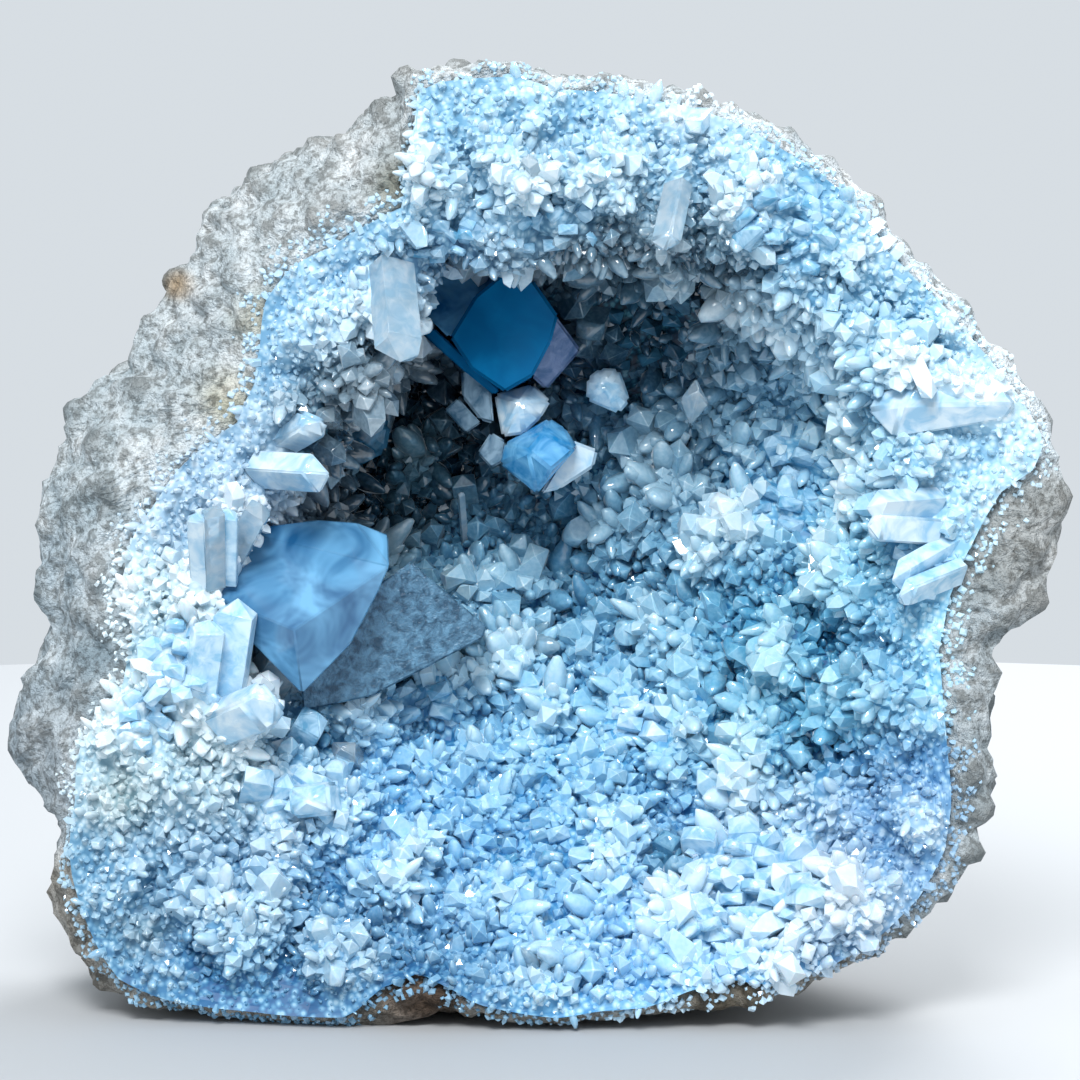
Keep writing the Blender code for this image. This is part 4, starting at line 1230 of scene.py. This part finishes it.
# Sugar that strays over the rock along the border, thick at the crust and thinning out in patches
def straySoil():
    made = placed("RockSoil", shell.data.copy())
    places = np.empty(len(made.data.vertices) * 3)
    made.data.vertices.foreach_get("co", places)
    places = places.reshape(-1, 3) / mm
    made.data.attributes.remove(made.data.attributes["tint"])
    paintPoints(made, "tint", zoneTints(places - np.array(settled), zones) ** 0.8)
    patches = np.array([noise.noise(Vector(place) / 4) for place in places])
    paintPoints(made, "grow", np.clip(border * 2.2 + patches * 1.3 - 0.6, 0, 1) * (border > 0))
    paintPoints(made, "size", 0.5 + 0.5 * border)
    return made


stray = straySoil()
growDruse("StraySugar", sugarDruse, druse["Stray"], None, sugarShelf, stray)
bpy.data.objects.remove(stray, do_unlink=True)

# A pale floor under soft studio lamps
print("stage: floor, lamps and camera")
studio = {
    "floorRadius": 0.5,
    "floorSides": 96,
    "floorColour": "#b9bcbf",
    "airColour": "#dfe6ec",
    "airLight": 0.92,
}
turns = [math.tau * step / studio["floorSides"] for step in range(studio["floorSides"])]
edge = [(studio["floorRadius"] * math.cos(turn), studio["floorRadius"] * math.sin(turn), 0) for turn in turns]
floorMesh = bpy.data.meshes.new("Floor")
floorMesh.from_pydata(edge, [], [tuple(range(studio["floorSides"]))])
floor = placed("Floor", floorMesh)
floorLook, tree, shader, place = newMaterial("Plain pale floor")
setUp(tree, shader, {"Base Color": colourOf(studio["floorColour"]), "Roughness": 0.7})
floorMesh.materials.append(floorLook)

world = bpy.data.worlds.new("Studio air")
bpy.context.scene.world = world
world.use_nodes = True
setUp(world.node_tree, world.node_tree.nodes["Background"], {
    "Color": colourOf(studio["airColour"]), "Strength": studio["airLight"]})

lamps = {
    "Key": {"place": (-0.1, -0.85, 0.8), "size": 0.4, "power": 12.5, "colour": "#ffffff"},
    "Rim": {"place": (0.25, 0.6, 0.7), "size": 0.5, "power": 7, "colour": "#ffffff"},
}
middle = Vector((0, 0, 0.08))
for name, lamp in lamps.items():
    light = bpy.data.lights.new(name, "AREA")
    light.size = lamp["size"]
    light.energy = lamp["power"]
    light.color = linearFromHex(lamp["colour"])
    made = placed(name, light)
    made.location = lamp["place"]
    made.rotation_euler = (middle - made.location).to_track_quat("-Z", "Y").to_euler()

view = bpy.data.cameras.new("Camera")
view.sensor_width = 36
view.lens = 36 * focal / (2 * reading["halfPicture"])
view.clip_start = 0.01
eye = placed("Camera", view)
tilt = reading["eyeTilt"]
back = Vector((0, -math.cos(tilt), math.sin(tilt))) * reading["eyeDistance"]
eye.location = (Vector(reading["aimPoint"]) + back + settled) * mm
eye.rotation_euler = (math.pi / 2 - tilt, 0, 0)
bpy.context.scene.camera = eye
bpy.context.scene.view_settings.view_transform = "Standard"
